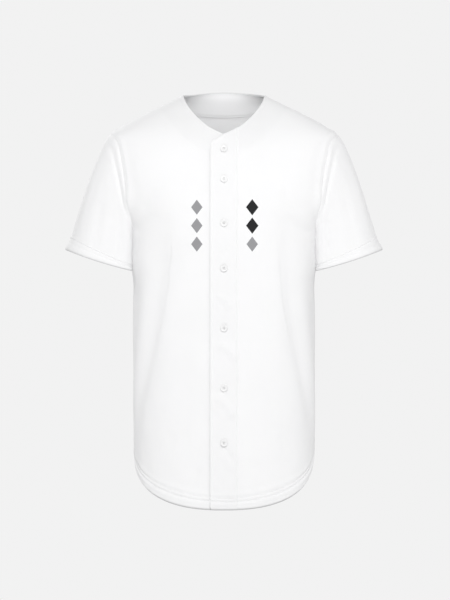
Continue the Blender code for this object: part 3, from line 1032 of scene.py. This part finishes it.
def make_front(side, start):
    hand = "left" if side > 0 else "right"
    name = hand + "_front"
    (grids,), painted_shades = body_panels(start, "front", (side,))
    material = knit_material("printed knit " + name, printed=True)
    cloth_piece(name, grids, painted_shades, material, "hung", [hand + "_sleeve_cloth"], below_armhole())


class JERSEY_OT_fronts(bpy.types.Operator):
    """Make the two fronts, the wearer's right one with its button stand"""

    bl_idname = "jersey.fronts"
    bl_label = "Fronts"

    def execute(self, context):
        make_front(1, STAND_EDGE + 2 * SEAM_GAP)
        make_front(-1, -STAND_EDGE)
        return {"FINISHED"}


class JERSEY_OT_back(bpy.types.Operator):
    """Make the back in one piece"""

    bl_idname = "jersey.back"
    bl_label = "Back"

    def execute(self, context):
        # Painted shade: a darker line along the back's neck edge.
        panels, painted_shades = body_panels(0.0, "back", (-1, 1), painted_neck_shade=0.16)
        grids = [both_sides(*faces) for faces in zip(*panels)]
        cloth_piece(
            "back", grids, both_sides(painted_shades, painted_shades), knit_material("knit back"), "hung",
            ["left_sleeve_cloth", "right_sleeve_cloth"], below_armhole(),
        )
        return {"FINISHED"}


# Placket and facing


def button_names():
    return sorted(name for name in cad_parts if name.startswith("button_"))


def button_middle(name):
    low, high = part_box(name)
    return (np.array(low) + np.array(high)) / 2


class JERSEY_OT_placket(bpy.types.Operator):
    """Make the front placket, the band that carries the buttonholes"""

    bl_idname = "jersey.placket"
    bl_label = "Placket"

    def execute(self, context):
        edge = PLACKET_INSET / PLACKET_WIDTH
        near = 0.0007 / PLACKET_WIDTH
        across = bands(
            (0.012, 2), (edge - near, 3), (edge, 1), (edge + near, 1), (0.5, 10),
            (1 - edge - near, 10), (1 - edge, 1), (1 - edge + near, 1), (0.988, 3), (1.0, 2),
        )
        x = PLACKET_LEFT + PLACKET_WIDTH * across
        toward = depth_at(x, HEM_LOWEST, "front") / section(HEM_LOWEST, "front")
        bottom = hem_height(toward) + CORNER_ROUND * np.clip(1 - across / 0.08, 0, 1) ** 2
        rows = np.concatenate([bands((0.006, 3), (HEM_TOP, 230)), body_hem_rows()])
        ends = zip(neck_height(x), bottom)
        z = np.stack([lengthwise(top, MIDDLE_LEVEL, low, rows) for top, low in ends], axis=1)
        grid = onto_cloth(on_face(np.broadcast_to(x, z.shape), z))
        normals = normals_of(grid)
        away = np.minimum(x - PLACKET_LEFT, PLACKET_RIGHT - x)
        lift = placket_lift(grid) + 0.0002 * ripple(grid, 0.012, 8) + body_hem_relief(rows)
        lift += dip(away - PLACKET_INSET, 0.0011, 0.0006) + dip(away, 0.0010, 0.0004)
        for name in button_names():
            height = button_middle(name)[2]
            lift += dip(np.hypot(grid[..., 0], (grid[..., 2] - height) * 0.8), 0.0085, 0.0003)
        inner = grid + (LAYER_GAP + lift)[..., None] * normals
        outer = inner + jersey().cloth.wall * normals
        # Painted shade and highlight: a dark line along the placket's free edge, a light one just inside it, and the
        # whole placket painted a little darker.
        free_edge = edge_of_placket(grid)
        free = 1 - 0.08 * fade(free_edge, 0.0015) + 0.02 * fade(free_edge - 0.0042, 0.0014)
        cloth_piece(
            "front_placket", (outer, inner), free * body_painted_hem_shade(rows),
            knit_material("knit placket", shade=0.985), "stretched",
            ["left_front_cloth", "right_front_cloth"], rows > 0.4,
        )
        return {"FINISHED"}


class JERSEY_OT_facing(bpy.types.Operator):
    """Make the facing inside the back neck"""

    bl_idname = "jersey.facing"
    bl_label = "Back neck facing"

    def execute(self, context):
        wall = jersey().cloth.wall
        share = bands((0.1, 4), (0.85, 14), (0.93, 4), (1.0, 3))
        rows = np.append(share * ARMHOLE_SHARE / 6, [ARMHOLE_SHARE, HEM_TOP, 1.0])
        columns = np.append(bands((NECK_SHARE, 30), (NECK_SHARE + 2 / 14, 10)), 1.0)
        half = half_panel(0.0, "back", columns, rows)[: len(share), :-1]
        half[:, 0, 0] = 0
        normals = normals_of(half)
        normals[:, 0, 0] = 0
        neck_away = distance_to(half, seam_lines(0.0, "back")["neck"])
        below = share[:, None]
        lift = dip(neck_away - 0.0055, 0.0012, -0.0003) + dip((below - 0.93) * 0.045, 0.0010, -0.0004)
        thinned = wall * (1 - 0.7 * np.clip((below - 0.9) / 0.1, 0, 1))
        outer = half + (0.3 * lift - wall - LAYER_GAP)[..., None] * normals
        inner = half + (lift - wall - LAYER_GAP - thinned)[..., None] * normals
        # Painted shade along the facing's top edge, and painted light: the whole facing is painted a little lighter.
        painted_shades = 1 - 0.14 * fade(neck_away, 0.0020) - 0.08 * fade(neck_away, 0.008)
        grids = [both_sides(sided(face, -1), face) for face in (outer, inner)]
        cloth_piece(
            "back_neck_facing", grids, both_sides(painted_shades, painted_shades), knit_material("knit facing", shade=1.02),
            "laid", ["back_cloth"],
        )
        return {"FINISHED"}


# Sleeves, made as the wearer's left


def cuff_rim(turn):
    """Points of the sleeve's open end at these turns round the arm, from the shoulder side by the front."""
    sine = np.sin(turn)[:, None]
    return (
        np.array(CUFF_CENTRE)
        + CUFF_HALF_WIDTH * np.cos(turn)[:, None] * ARM_ACROSS
        + CUFF_HALF_DEPTH * sine * (0, -1.0, 0)
        + CUFF_BOW * sine ** 2 * ARM_DOWN
    )


def leaving(ring, turn):
    """The directions in which the sleeve leaves its armhole."""
    outward = 0.18 + 0.42 * (0.5 + 0.5 * np.cos(turn)) ** 1.5
    aside = np.stack([outward, -0.04 * np.sin(turn), 0 * turn], axis=-1)
    return unit(unit(cuff_rim(turn) - ring) + aside)


def seam_normals(ring, turn, tangent):
    """Normals half way between the sleeve's face and the body's where they meet."""
    return unit(unit(np.cross(tangent, leaving(ring, turn))) + normals_of(ring))


def share_armhole(grid, normals, rows, face):
    """Gives a panel's armhole edge the normals that the sleeve has there, so that both meet all through."""
    upper = rows <= ARMHOLE_SHARE + TINY
    ring = grid[upper, -1]
    turn = math.pi * rows[upper] / ARMHOLE_SHARE
    tangent = np.gradient(ring, axis=0)
    if face == "back":
        turn, tangent = 2 * math.pi - turn, -tangent
    normals[upper, -1] = seam_normals(ring, turn, tangent)


def sleeve_base(rows, turns):
    """A grid [row, round] of the left sleeve's outer face, its turns, reach from the armhole and armhole ring."""
    turn = np.linspace(0, 2 * math.pi, turns, endpoint=False)
    front = along(armhole("front"), turn[turn <= math.pi + TINY] / math.pi)
    back = along(armhole("back"), (2 * math.pi - turn[turn > math.pi + TINY]) / math.pi)
    ring = np.concatenate([front, back])
    cuff = cuff_rim(turn)
    reach = np.linalg.norm(cuff - ring, axis=1, keepdims=True)
    band = jersey().cloth.sleeve_hem / reach.mean()
    s = np.interp(rows, (0, HEM_TOP, 1), (0, 1 - band, 1))[:, None, None]
    grid = (
        (1 + 2 * s) * (1 - s) ** 2 * ring
        + s * (1 - s) ** 2 * 0.45 * reach * leaving(ring, turn)
        + s * s * (3 - 2 * s) * cuff
        - s * s * (1 - s) * 0.85 * reach * ARM_DOWN
    )
    return grid, np.degrees(turn), lengths_of(grid), ring


def sleeve_relief(grid, turn, away, rows, side):
    lift = np.zeros(grid.shape[:2])
    for from_turn, from_reach, to_turn, to_reach, width, depth in SLEEVE_FOLDS:
        if abs(to_turn - from_turn) > ROUND_THE_ARM:
            share = np.clip((turn - from_turn) / (to_turn - from_turn), 0, 1)
            off = away - (from_reach + (to_reach - from_reach) * share)
            window = np.clip(np.sin(math.pi * share), 0, 1) ** 0.7
        else:
            share = np.clip((away - from_reach) / (to_reach - from_reach), 0, 1)
            off = np.radians(turn - (from_turn + (to_turn - from_turn) * share)) * ARM_RADIUS
            window = np.sin(math.pi * share) ** 0.8
        lift += depth * window * fade(off, width)
    lift += armhole_swell(grid[:1], away) + dip(away, 0.0022, 0.0007)
    for middle, width, height in SLEEVE_BULGES:
        lift += height * np.clip(away / 0.016, 0, 1) * fade(turn - middle, width)
    seed = SLEEVE_SEEDS[side]
    lift += 0.0006 * ripple(grid, 0.045, seed, upright=0.5) + 0.00015 * ripple(grid, 0.013, seed + 1)
    hem = jersey().cloth.sleeve_hem
    down = below_hem_top(rows, hem)
    outer_side = fade(np.minimum(turn, 360 - turn), 48)
    flare = (0.0012 + 0.0032 * outer_side) * np.clip((down + 0.004) / (hem + 0.004), 0, 1) ** 1.3
    return lift + flare + turned_up(down, hem, 0.0030, 0.4)


def round_step(points, axis):
    """From each point's neighbour before it to the one after it, round the arm."""
    return np.roll(points, -1, axis=axis) - np.roll(points, 1, axis=axis)


def sleeve_face(rows, turns, side):
    """The sleeve's outer face before its relief, its normals, its relief, and the rest of its base."""
    grid, turn, away, ring = sleeve_base(rows, turns)
    normals = unit(np.cross(round_step(grid, 1), np.gradient(grid, axis=0)))
    return grid, normals, sleeve_relief(grid, turn, away, rows, side), turn, ring


def make_sleeve(hand, side):
    hem = jersey().cloth.sleeve_hem
    upper = bands((0.02, 4), (0.14, 12), (0.985, 62), (1.0, 2)) * HEM_TOP
    rows = np.concatenate([upper, hem_rows(hem, (0.88, 6), (1.0, 6))])
    grid, normals, lift, turn, ring = sleeve_face(rows, 128, side)
    normals[0] = seam_normals(ring, np.radians(turn), round_step(ring, 0))
    outer = grid + lift[..., None] * normals
    grids = [sided(face, side) for face in (outer, inside_of(outer, normals, rows))]
    name = hand + "_sleeve"
    # Painted shade at the sleeve hem's folded edge.
    cloth_piece(
        name, grids, painted_hem_shade(rows, hem, 0.27), knit_material("knit " + name), "hung",
        [hand + "_front_cloth", "back_cloth"], closed=True,
    )


class JERSEY_OT_sleeves(bpy.types.Operator):
    """Make both sleeves with their turned-up hems"""

    bl_idname = "jersey.sleeves"
    bl_label = "Sleeves"

    def execute(self, context):
        make_sleeve("left", 1)
        make_sleeve("right", -1)
        return {"FINISHED"}


# Threads


def tube(path, radius, sides, around):
    """Points and faces of a thread along a path, its ends closed. AROUND is the outward normal at each point."""
    path = np.asarray(path, float)
    ahead = unit(np.gradient(path, axis=0))
    aside = unit(np.cross(ahead, around))
    lift = np.cross(aside, ahead)
    turn = 2 * math.pi * np.arange(sides)[None, :, None] / sides
    rings = path[:, None] + radius * (np.cos(turn) * aside[:, None] + np.sin(turn) * lift[:, None])
    last = (len(path) - 1) * sides
    faces = []
    for row in range(0, last, sides):
        for k in range(sides):
            a, b = row + k, row + (k + 1) % sides
            faces.append((a, b, b + sides, a + sides))
    faces += [tuple(range(sides))[::-1], tuple(range(last, last + sides))]
    return rings.reshape(-1, 3), faces


def thread_piece(name, parts, seat=()):
    """One piece of thread from many (points, faces), riding with the placket."""
    points, faces, start = [], [], 0
    for place, rows in parts:
        points.append(place)
        faces += [tuple(i + start for i in row) for row in rows]
        start += len(place)
    obj = new_object(name, np.concatenate(points), faces)
    edit_all(obj, bpy.ops.mesh.normals_make_consistent, inside=False)
    wear(obj, bpy.data.materials.get("white thread") or thread_material())
    shade(obj, 60)
    if seat:
        placed(obj, *seat)
    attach(obj, BODY)


def stitches(line, normals, length=0.0019, gap=0.0005, radius=0.00018, sink=0.00022):
    """Short thread beads along a line, each with its ends tucked into the cloth."""
    lengths = lengths_of(line)
    count = max(1, int(lengths[-1] / (length + gap)))
    height = np.array([-1.6, 0.1, 0.6, 0.1, -1.6])[:, None] * radius - sink + radius
    parts = []
    for k in range(count):
        at = lengths[-1] / count * k + length * np.array([0.0, 0.2, 0.5, 0.8, 1.0])
        out = unit(between(at, lengths, normals))
        parts.append(tube(between(at, lengths, line) + height * out, radius, 5, out))
    return parts


# Buttons and buttonholes


def placed(obj, base, side, up, normal):
    """Moves a mesh from the origin to a seat on the placket, its Z turned outwards."""
    places = np.array([vertex.co[:] for vertex in obj.data.vertices])
    turned = base + places @ np.stack([side, up, normal])
    obj.data.vertices.foreach_set("co", turned.reshape(-1))
    obj.data.update()


def button_place(name):
    """Where a button's back sits, with its side, up and outward directions."""
    height = button_middle(name)[2]
    above = LAYER_GAP + jersey().cloth.wall + SEAM_GAP
    seat = on_face(np.array(0.0), height)
    normal = normals_of(seat[None])[0]
    base = seat + normal * above
    base[2] = height - normal[2] * jersey().buttons.thick / 2
    base += normal * (above - level(base[None])[0])
    up = unit(np.array([0, 0, 1.0]) - normal[2] * normal)
    return base, np.cross(up, normal), up, normal


def apply_modifier(obj, kind, **settings):
    only(obj)
    modifier = obj.modifiers.new(kind.lower(), kind)
    for name, value in settings.items():
        setattr(modifier, name, value)
    bpy.ops.object.modifier_apply(modifier=modifier.name)


def one_button(name):
    """A four-hole button with a rolled rim, made lying on its back at the origin."""
    sizes = jersey().buttons
    bpy.ops.object.select_all(action="DESELECT")
    bpy.ops.mesh.primitive_cylinder_add(
        vertices=48, radius=sizes.radius, depth=sizes.rim, location=(0, 0, sizes.rim / 2)
    )
    obj = bpy.context.object
    obj.name = name
    bpy.ops.object.transform_apply(location=True, rotation=True, scale=True)
    bpy.ops.object.mode_set(mode="EDIT")
    bpy.ops.mesh.select_mode(type="FACE")
    bpy.ops.mesh.select_all(action="DESELECT")
    bpy.ops.object.mode_set(mode="OBJECT")
    for face in obj.data.polygons:
        face.select = face.normal.z > 0.9
    bpy.ops.object.mode_set(mode="EDIT")
    for inward, down in BUTTON_STEPS:
        bpy.ops.mesh.inset(thickness=inward, depth=down)
    bpy.ops.object.mode_set(mode="OBJECT")
    apply_modifier(
        obj, "BEVEL", width=RIM_ROUND, segments=4, limit_method="ANGLE", angle_limit=math.radians(50)
    )
    for k in range(4):
        angle = math.pi / 4 + k * math.pi / 2
        bpy.ops.mesh.primitive_cylinder_add(
            vertices=16, radius=sizes.hole, depth=0.02,
            location=(sizes.spread * math.cos(angle), sizes.spread * math.sin(angle), 0),
        )
        drill = bpy.context.object
        apply_modifier(obj, "BOOLEAN", object=drill, operation="DIFFERENCE", solver="EXACT")
        bpy.data.objects.remove(drill)
    return obj


def button_threads():
    """Two pairs of strands up one hole and down the next, over a button at the origin."""
    sizes = jersey().buttons
    holes = sizes.spread * math.cos(math.pi / 4)
    t = np.linspace(-1, 1, 13)
    dive = 0.00512 * np.clip(np.abs(t) - 0.62, 0, 1) ** 1.2
    top = sizes.rim - 0.00013 - dive
    parts = []
    for side in (-1, 1):
        for lay in (-0.00022, 0.00022):
            path = np.stack([side * holes + lay + 0 * t, holes * t * 1.02, top], axis=-1)
            parts.append(tube(path, BUTTON_THREAD, 7, np.tile([0, 0, 1.0], (len(t), 1))))
    return parts


class JERSEY_OT_buttons(bpy.types.Operator):
    """Make the buttons, each with the thread that crosses its holes"""

    bl_idname = "jersey.buttons"
    bl_label = "Buttons"

    def execute(self, context):
        pattern = one_button("button_pattern")
        face = button_material()
        for name in button_names():
            seat = button_place(name)
            button = pattern.copy()
            button.data = pattern.data.copy()
            button.name = name + "_disc"
            bpy.context.collection.objects.link(button)
            placed(button, *seat)
            shade(button, 35)
            wear(button, face)
            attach(button, BODY)
            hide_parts(name)
            thread_piece(name + "_thread", button_threads(), seat)
        bpy.data.objects.remove(pattern)
        return {"FINISHED"}


def on_placket(x, z, above):
    """A point this far outside the placket's even face, at x and height."""
    seat = on_face(x, z)
    return seat + (above + placket_lift(seat[None])[0]) * normals_of(seat[None])[0]


def rounded_off(wave):
    return np.sign(wave) * np.abs(wave) ** 0.55


class JERSEY_OT_buttonholes(bpy.types.Operator):
    """Make the upright buttonholes, each a ring of close stitches round a slit"""

    bl_idname = "jersey.buttonholes"
    bl_label = "Buttonholes"

    def execute(self, context):
        above = LAYER_GAP + jersey().cloth.wall + 0.00005
        t = np.linspace(0, 2 * math.pi, 76, endpoint=False)
        ring = list(zip(HOLE_WIDE * rounded_off(np.sin(t)), HOLE_HALF * rounded_off(np.cos(t))))
        parts = []
        for name in button_names():
            base, _, _, normal = button_place(name)
            for across, up in ring:
                middle = on_placket(base[0] + across, base[2] + up, above)
                out = unit(np.array([across / HOLE_WIDE ** 2, 0, up / HOLE_HALF ** 2]) + TINY)
                ends = [middle - 0.00055 * out, middle + 0.00018 * normal, middle + 0.00055 * out]
                parts.append(tube(ends, HOLE_THREAD, 5, np.tile(normal, (3, 1))))
        thread_piece("buttonhole_stitches", parts)
        return {"FINISHED"}


# Topstitching


def beside(line, distance, toward):
    """A line this far from another one along the cloth, on the side of the point TOWARD."""
    aside = unit(np.cross(unit(np.gradient(line, axis=0)), normals_of(line)))
    sign = np.sign(((toward - line) * aside).sum(axis=-1, keepdims=True))
    return onto_cloth(line + distance * aside * sign)


def panel_stitches(start, face, sides):
    """(piece, beads) for every row on a front or on the back. What runs under the placket is left out."""
    cloth = jersey().cloth
    rows = panel_rows()
    grid = half_panel(start, face, panel_columns(), rows)
    lines = seam_lines(start, face)
    second = HEM_TOP + HEM_SHARE * cloth.needle_gap / cloth.hem_depth
    paths = [("hem_stitches", grid[np.argmin(np.abs(rows - row))], 0.0003) for row in (HEM_TOP, second)]
    fine = np.linspace(0, 1, 400)[4:-4]
    for piece, edge, distance in EDGE_STITCHES:
        if edge != "shoulder" or face == "back":
            paths.append((piece, beside(along(lines[edge], fine), distance, (0.0, 0.0, -0.35)), 0.0001))
    for side in sides:
        for piece, path, sink in paths:
            away = distance_to(path, lines["armhole"])
            lift = panel_lift(sided(path, side)) + armhole_swell(path, away)
            for _, place, width, depth in ARMHOLE_DIPS:
                lift += dip(away - place, width, depth)
            normals = normals_of(path)
            line = sided(path + (lift - sink)[:, None] * normals, side)
            keep = (line[:, 0] > PLACKET_RIGHT + 0.0005) | (line[:, 0] < PLACKET_LEFT - 0.0005)
            keep |= face == "back"
            yield piece, stitches(line[keep], sided(normals, side)[keep])


def placket_stitches():
    """Rows down both edges of the placket and along its curved top and its hem."""
    cloth = jersey().cloth
    left, right = PLACKET_LEFT + PLACKET_INSET, PLACKET_RIGHT - PLACKET_INSET
    top_x = np.linspace(left, right, 60)
    top_z = neck_height(top_x) - 0.0062
    bottom = hem_height(np.array(1.0))
    runs = [(np.full(500, x), np.linspace(z, bottom + 0.002, 500)) for x, z in ((left, top_z[0]), (right, top_z[-1]))]
    runs.append((top_x, top_z))
    for height in (cloth.hem_depth, cloth.hem_depth - cloth.needle_gap):
        x = np.linspace(PLACKET_LEFT + 0.0008, PLACKET_RIGHT - 0.0008, 60)
        runs.append((x, np.full(60, bottom + height)))
    parts = []
    for x, z in runs:
        line = onto_cloth(on_face(x, z))
        normals = normals_of(line)
        above = placket_lift(line) + LAYER_GAP + cloth.wall - 0.0002
        parts += stitches(line + above[:, None] * normals, normals)
    return parts


def sleeve_stitches(side):
    """The two rows round a sleeve's hem."""
    cloth = jersey().cloth
    second = HEM_TOP + HEM_SHARE * cloth.needle_gap / cloth.sleeve_hem
    rows = np.concatenate([np.linspace(0, HEM_TOP, 60), [second, 1.0]])
    grid, normals, lift, _, _ = sleeve_face(rows, 256, side)
    sewn = sided(grid + (lift + 0.0001)[..., None] * normals, side)
    normals = sided(normals, side)
    parts = []
    for index in (59, 60):
        line, out = (np.concatenate([part[index], part[index, :1]]) for part in (sewn, normals))
        parts += stitches(line, out)
    return parts


class JERSEY_OT_topstitching(bpy.types.Operator):
    """Sew the hems, neck, placket, shoulders and armholes with rows of small stitches"""

    bl_idname = "jersey.topstitching"
    bl_label = "Topstitching"

    def execute(self, context):
        found = {"hem_stitches": [], "neck_stitches": [], "placket_stitches": placket_stitches(), "seam_stitches": []}
        for start, face, sides in ((STAND_EDGE, "front", (1,)), (-STAND_EDGE, "front", (-1,)), (0.0, "back", (-1, 1))):
            for piece, parts in panel_stitches(start, face, sides):
                found[piece] += parts
        found["hem_stitches"] += sleeve_stitches(1) + sleeve_stitches(-1)
        for piece, parts in found.items():
            thread_piece(piece, parts)
        return {"FINISHED"}


# Studio


def look(place, aim):
    return (Vector(aim) - Vector(place)).to_track_quat("-Z", "Y").to_euler()


def add_light(kind, name, place, aim, energy, **shape):
    bpy.ops.object.light_add(type=kind, location=place)
    light = bpy.context.object
    light.name = name
    light.data.energy = energy
    for setting, value in shape.items():
        setattr(light.data, setting, value)
    light.rotation_euler = look(place, aim)
    return light


def make_floor(stage):
    bpy.ops.object.select_all(action="DESELECT")
    bpy.ops.mesh.primitive_circle_add(
        vertices=96, radius=FLOOR_RADIUS, fill_type="NGON", location=(0, 0, FLOOR_HEIGHT)
    )
    floor = bpy.context.object
    floor.name = "studio_floor"
    bpy.ops.object.transform_apply(location=True, rotation=True, scale=True)
    material, _, surface, _ = new_surface("pale studio floor", stage.floor, 0.9)
    surface.inputs["Specular IOR Level"].default_value = 0.1
    wear(floor, material)
    floor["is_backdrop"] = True


def make_world(stage):
    """Even light that differs by the direction it comes from, behind which the camera sees a plain backdrop."""
    world = bpy.data.worlds.new("studio")
    world.use_nodes = True
    tree = world.node_tree
    light = tree.nodes["Background"]
    light.inputs["Color"].default_value = (1, 1, 1, 1)
    calc = partial(math_node, tree)
    toward = node(tree, "TexCoord").outputs["Generated"]
    split = node(tree, "SeparateXYZ", Vector=toward).outputs
    ahead = calc("MAXIMUM", calc("MULTIPLY", split["Y"], -1.0), 0.0)
    behind = calc("MAXIMUM", split["Y"], 0.0)
    less_ahead = calc("MULTIPLY", ahead, stage.room_light - stage.front_light)
    less_behind = calc("MULTIPLY", behind, stage.room_light - stage.back_light)
    strength = calc("SUBTRACT", stage.room_light, calc("ADD", less_ahead, less_behind))
    over = calc("MULTIPLY", calc("MAXIMUM", split["Z"], 0.0), stage.overhead_dim)
    strength = calc("MULTIPLY", strength, calc("SUBTRACT", 1.0, over))
    seen = node(tree, "LightPath").outputs["Is Camera Ray"]
    shown = node(tree, "Mix", Factor=seen, A=strength, B=stage.backdrop_light)
    tree.links.new(shown.outputs["Result"], light.inputs["Strength"])
    bpy.context.scene.world = world


def make_camera(stage):
    data = bpy.data.cameras.new("camera")
    camera = bpy.data.objects.new("camera", data)
    bpy.context.collection.objects.link(camera)
    camera.location = Vector(stage.aim) - Vector((0, stage.distance, 0))
    camera.rotation_euler = look(camera.location, stage.aim)
    data.sensor_width = 36
    data.lens = data.sensor_width * stage.distance / stage.view_height
    data.clip_end = 100
    bpy.context.scene.camera = camera
    bpy.context.scene.view_settings.view_transform = "Standard"


class JERSEY_OT_stage(bpy.types.Operator):
    """Set up the pale floor, the soft lights and the camera"""

    bl_idname = "jersey.stage"
    bl_label = "Stage"

    def execute(self, context):
        stage = jersey().stage
        make_floor(stage)
        make_world(stage)
        add_light("AREA", "key", tuple(stage.key_place), KEY_AIM, stage.key_light, shape="DISK", size=1.1)
        inner = add_light(
            "AREA", "neck light", NECK_PLACE, NECK_AIM, stage.neck_light, shape="RECTANGLE", size=4.4, size_y=0.9
        )
        lit = bpy.data.collections.new("inside of the neck")
        for name in ("back_cloth", "back_neck_facing_cloth"):
            lit.objects.link(bpy.data.objects[name])
        inner.light_linking.receiver_collection = lit
        add_light("SUN", "rear", REAR_PLACE, (0, 0, 0), stage.rear_light, angle=math.radians(12))
        make_camera(stage)
        return {"FINISHED"}


STEPS = (
    JERSEY_OT_fronts,
    JERSEY_OT_back,
    JERSEY_OT_sleeves,
    JERSEY_OT_placket,
    JERSEY_OT_facing,
    JERSEY_OT_buttons,
    JERSEY_OT_buttonholes,
    JERSEY_OT_topstitching,
    JERSEY_OT_stage,
)


class JERSEY_PT_steps(bpy.types.Panel):
    """Lists the pieces of the jersey"""

    bl_label = "Jersey"
    bl_idname = "JERSEY_PT_steps"
    bl_space_type = "VIEW_3D"
    bl_region_type = "UI"
    bl_category = "Jersey"

    def draw(self, context):
        for step in STEPS:
            self.layout.operator(step.bl_idname)


CLASSES = (JerseyCloth, JerseyButtons, JerseyPrint, JerseyStage, JerseySettings, *STEPS, JERSEY_PT_steps)


def register():
    for cls in CLASSES:
        bpy.utils.register_class(cls)
    bpy.types.Scene.jersey = PointerProperty(type=JerseySettings)


def unregister():
    del bpy.types.Scene.jersey
    for cls in reversed(CLASSES):
        bpy.utils.unregister_class(cls)


def main():
    register()
    for step in STEPS:
        group, name = step.bl_idname.split(".")
        getattr(getattr(bpy.ops, group), name)()
    boxes = {"cad": CAD_BOX, "visual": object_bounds()}
    lists = {name: [list(map(float, corner)) for corner in box] for name, box in boxes.items()}


if __name__ == "__main__":
    main()
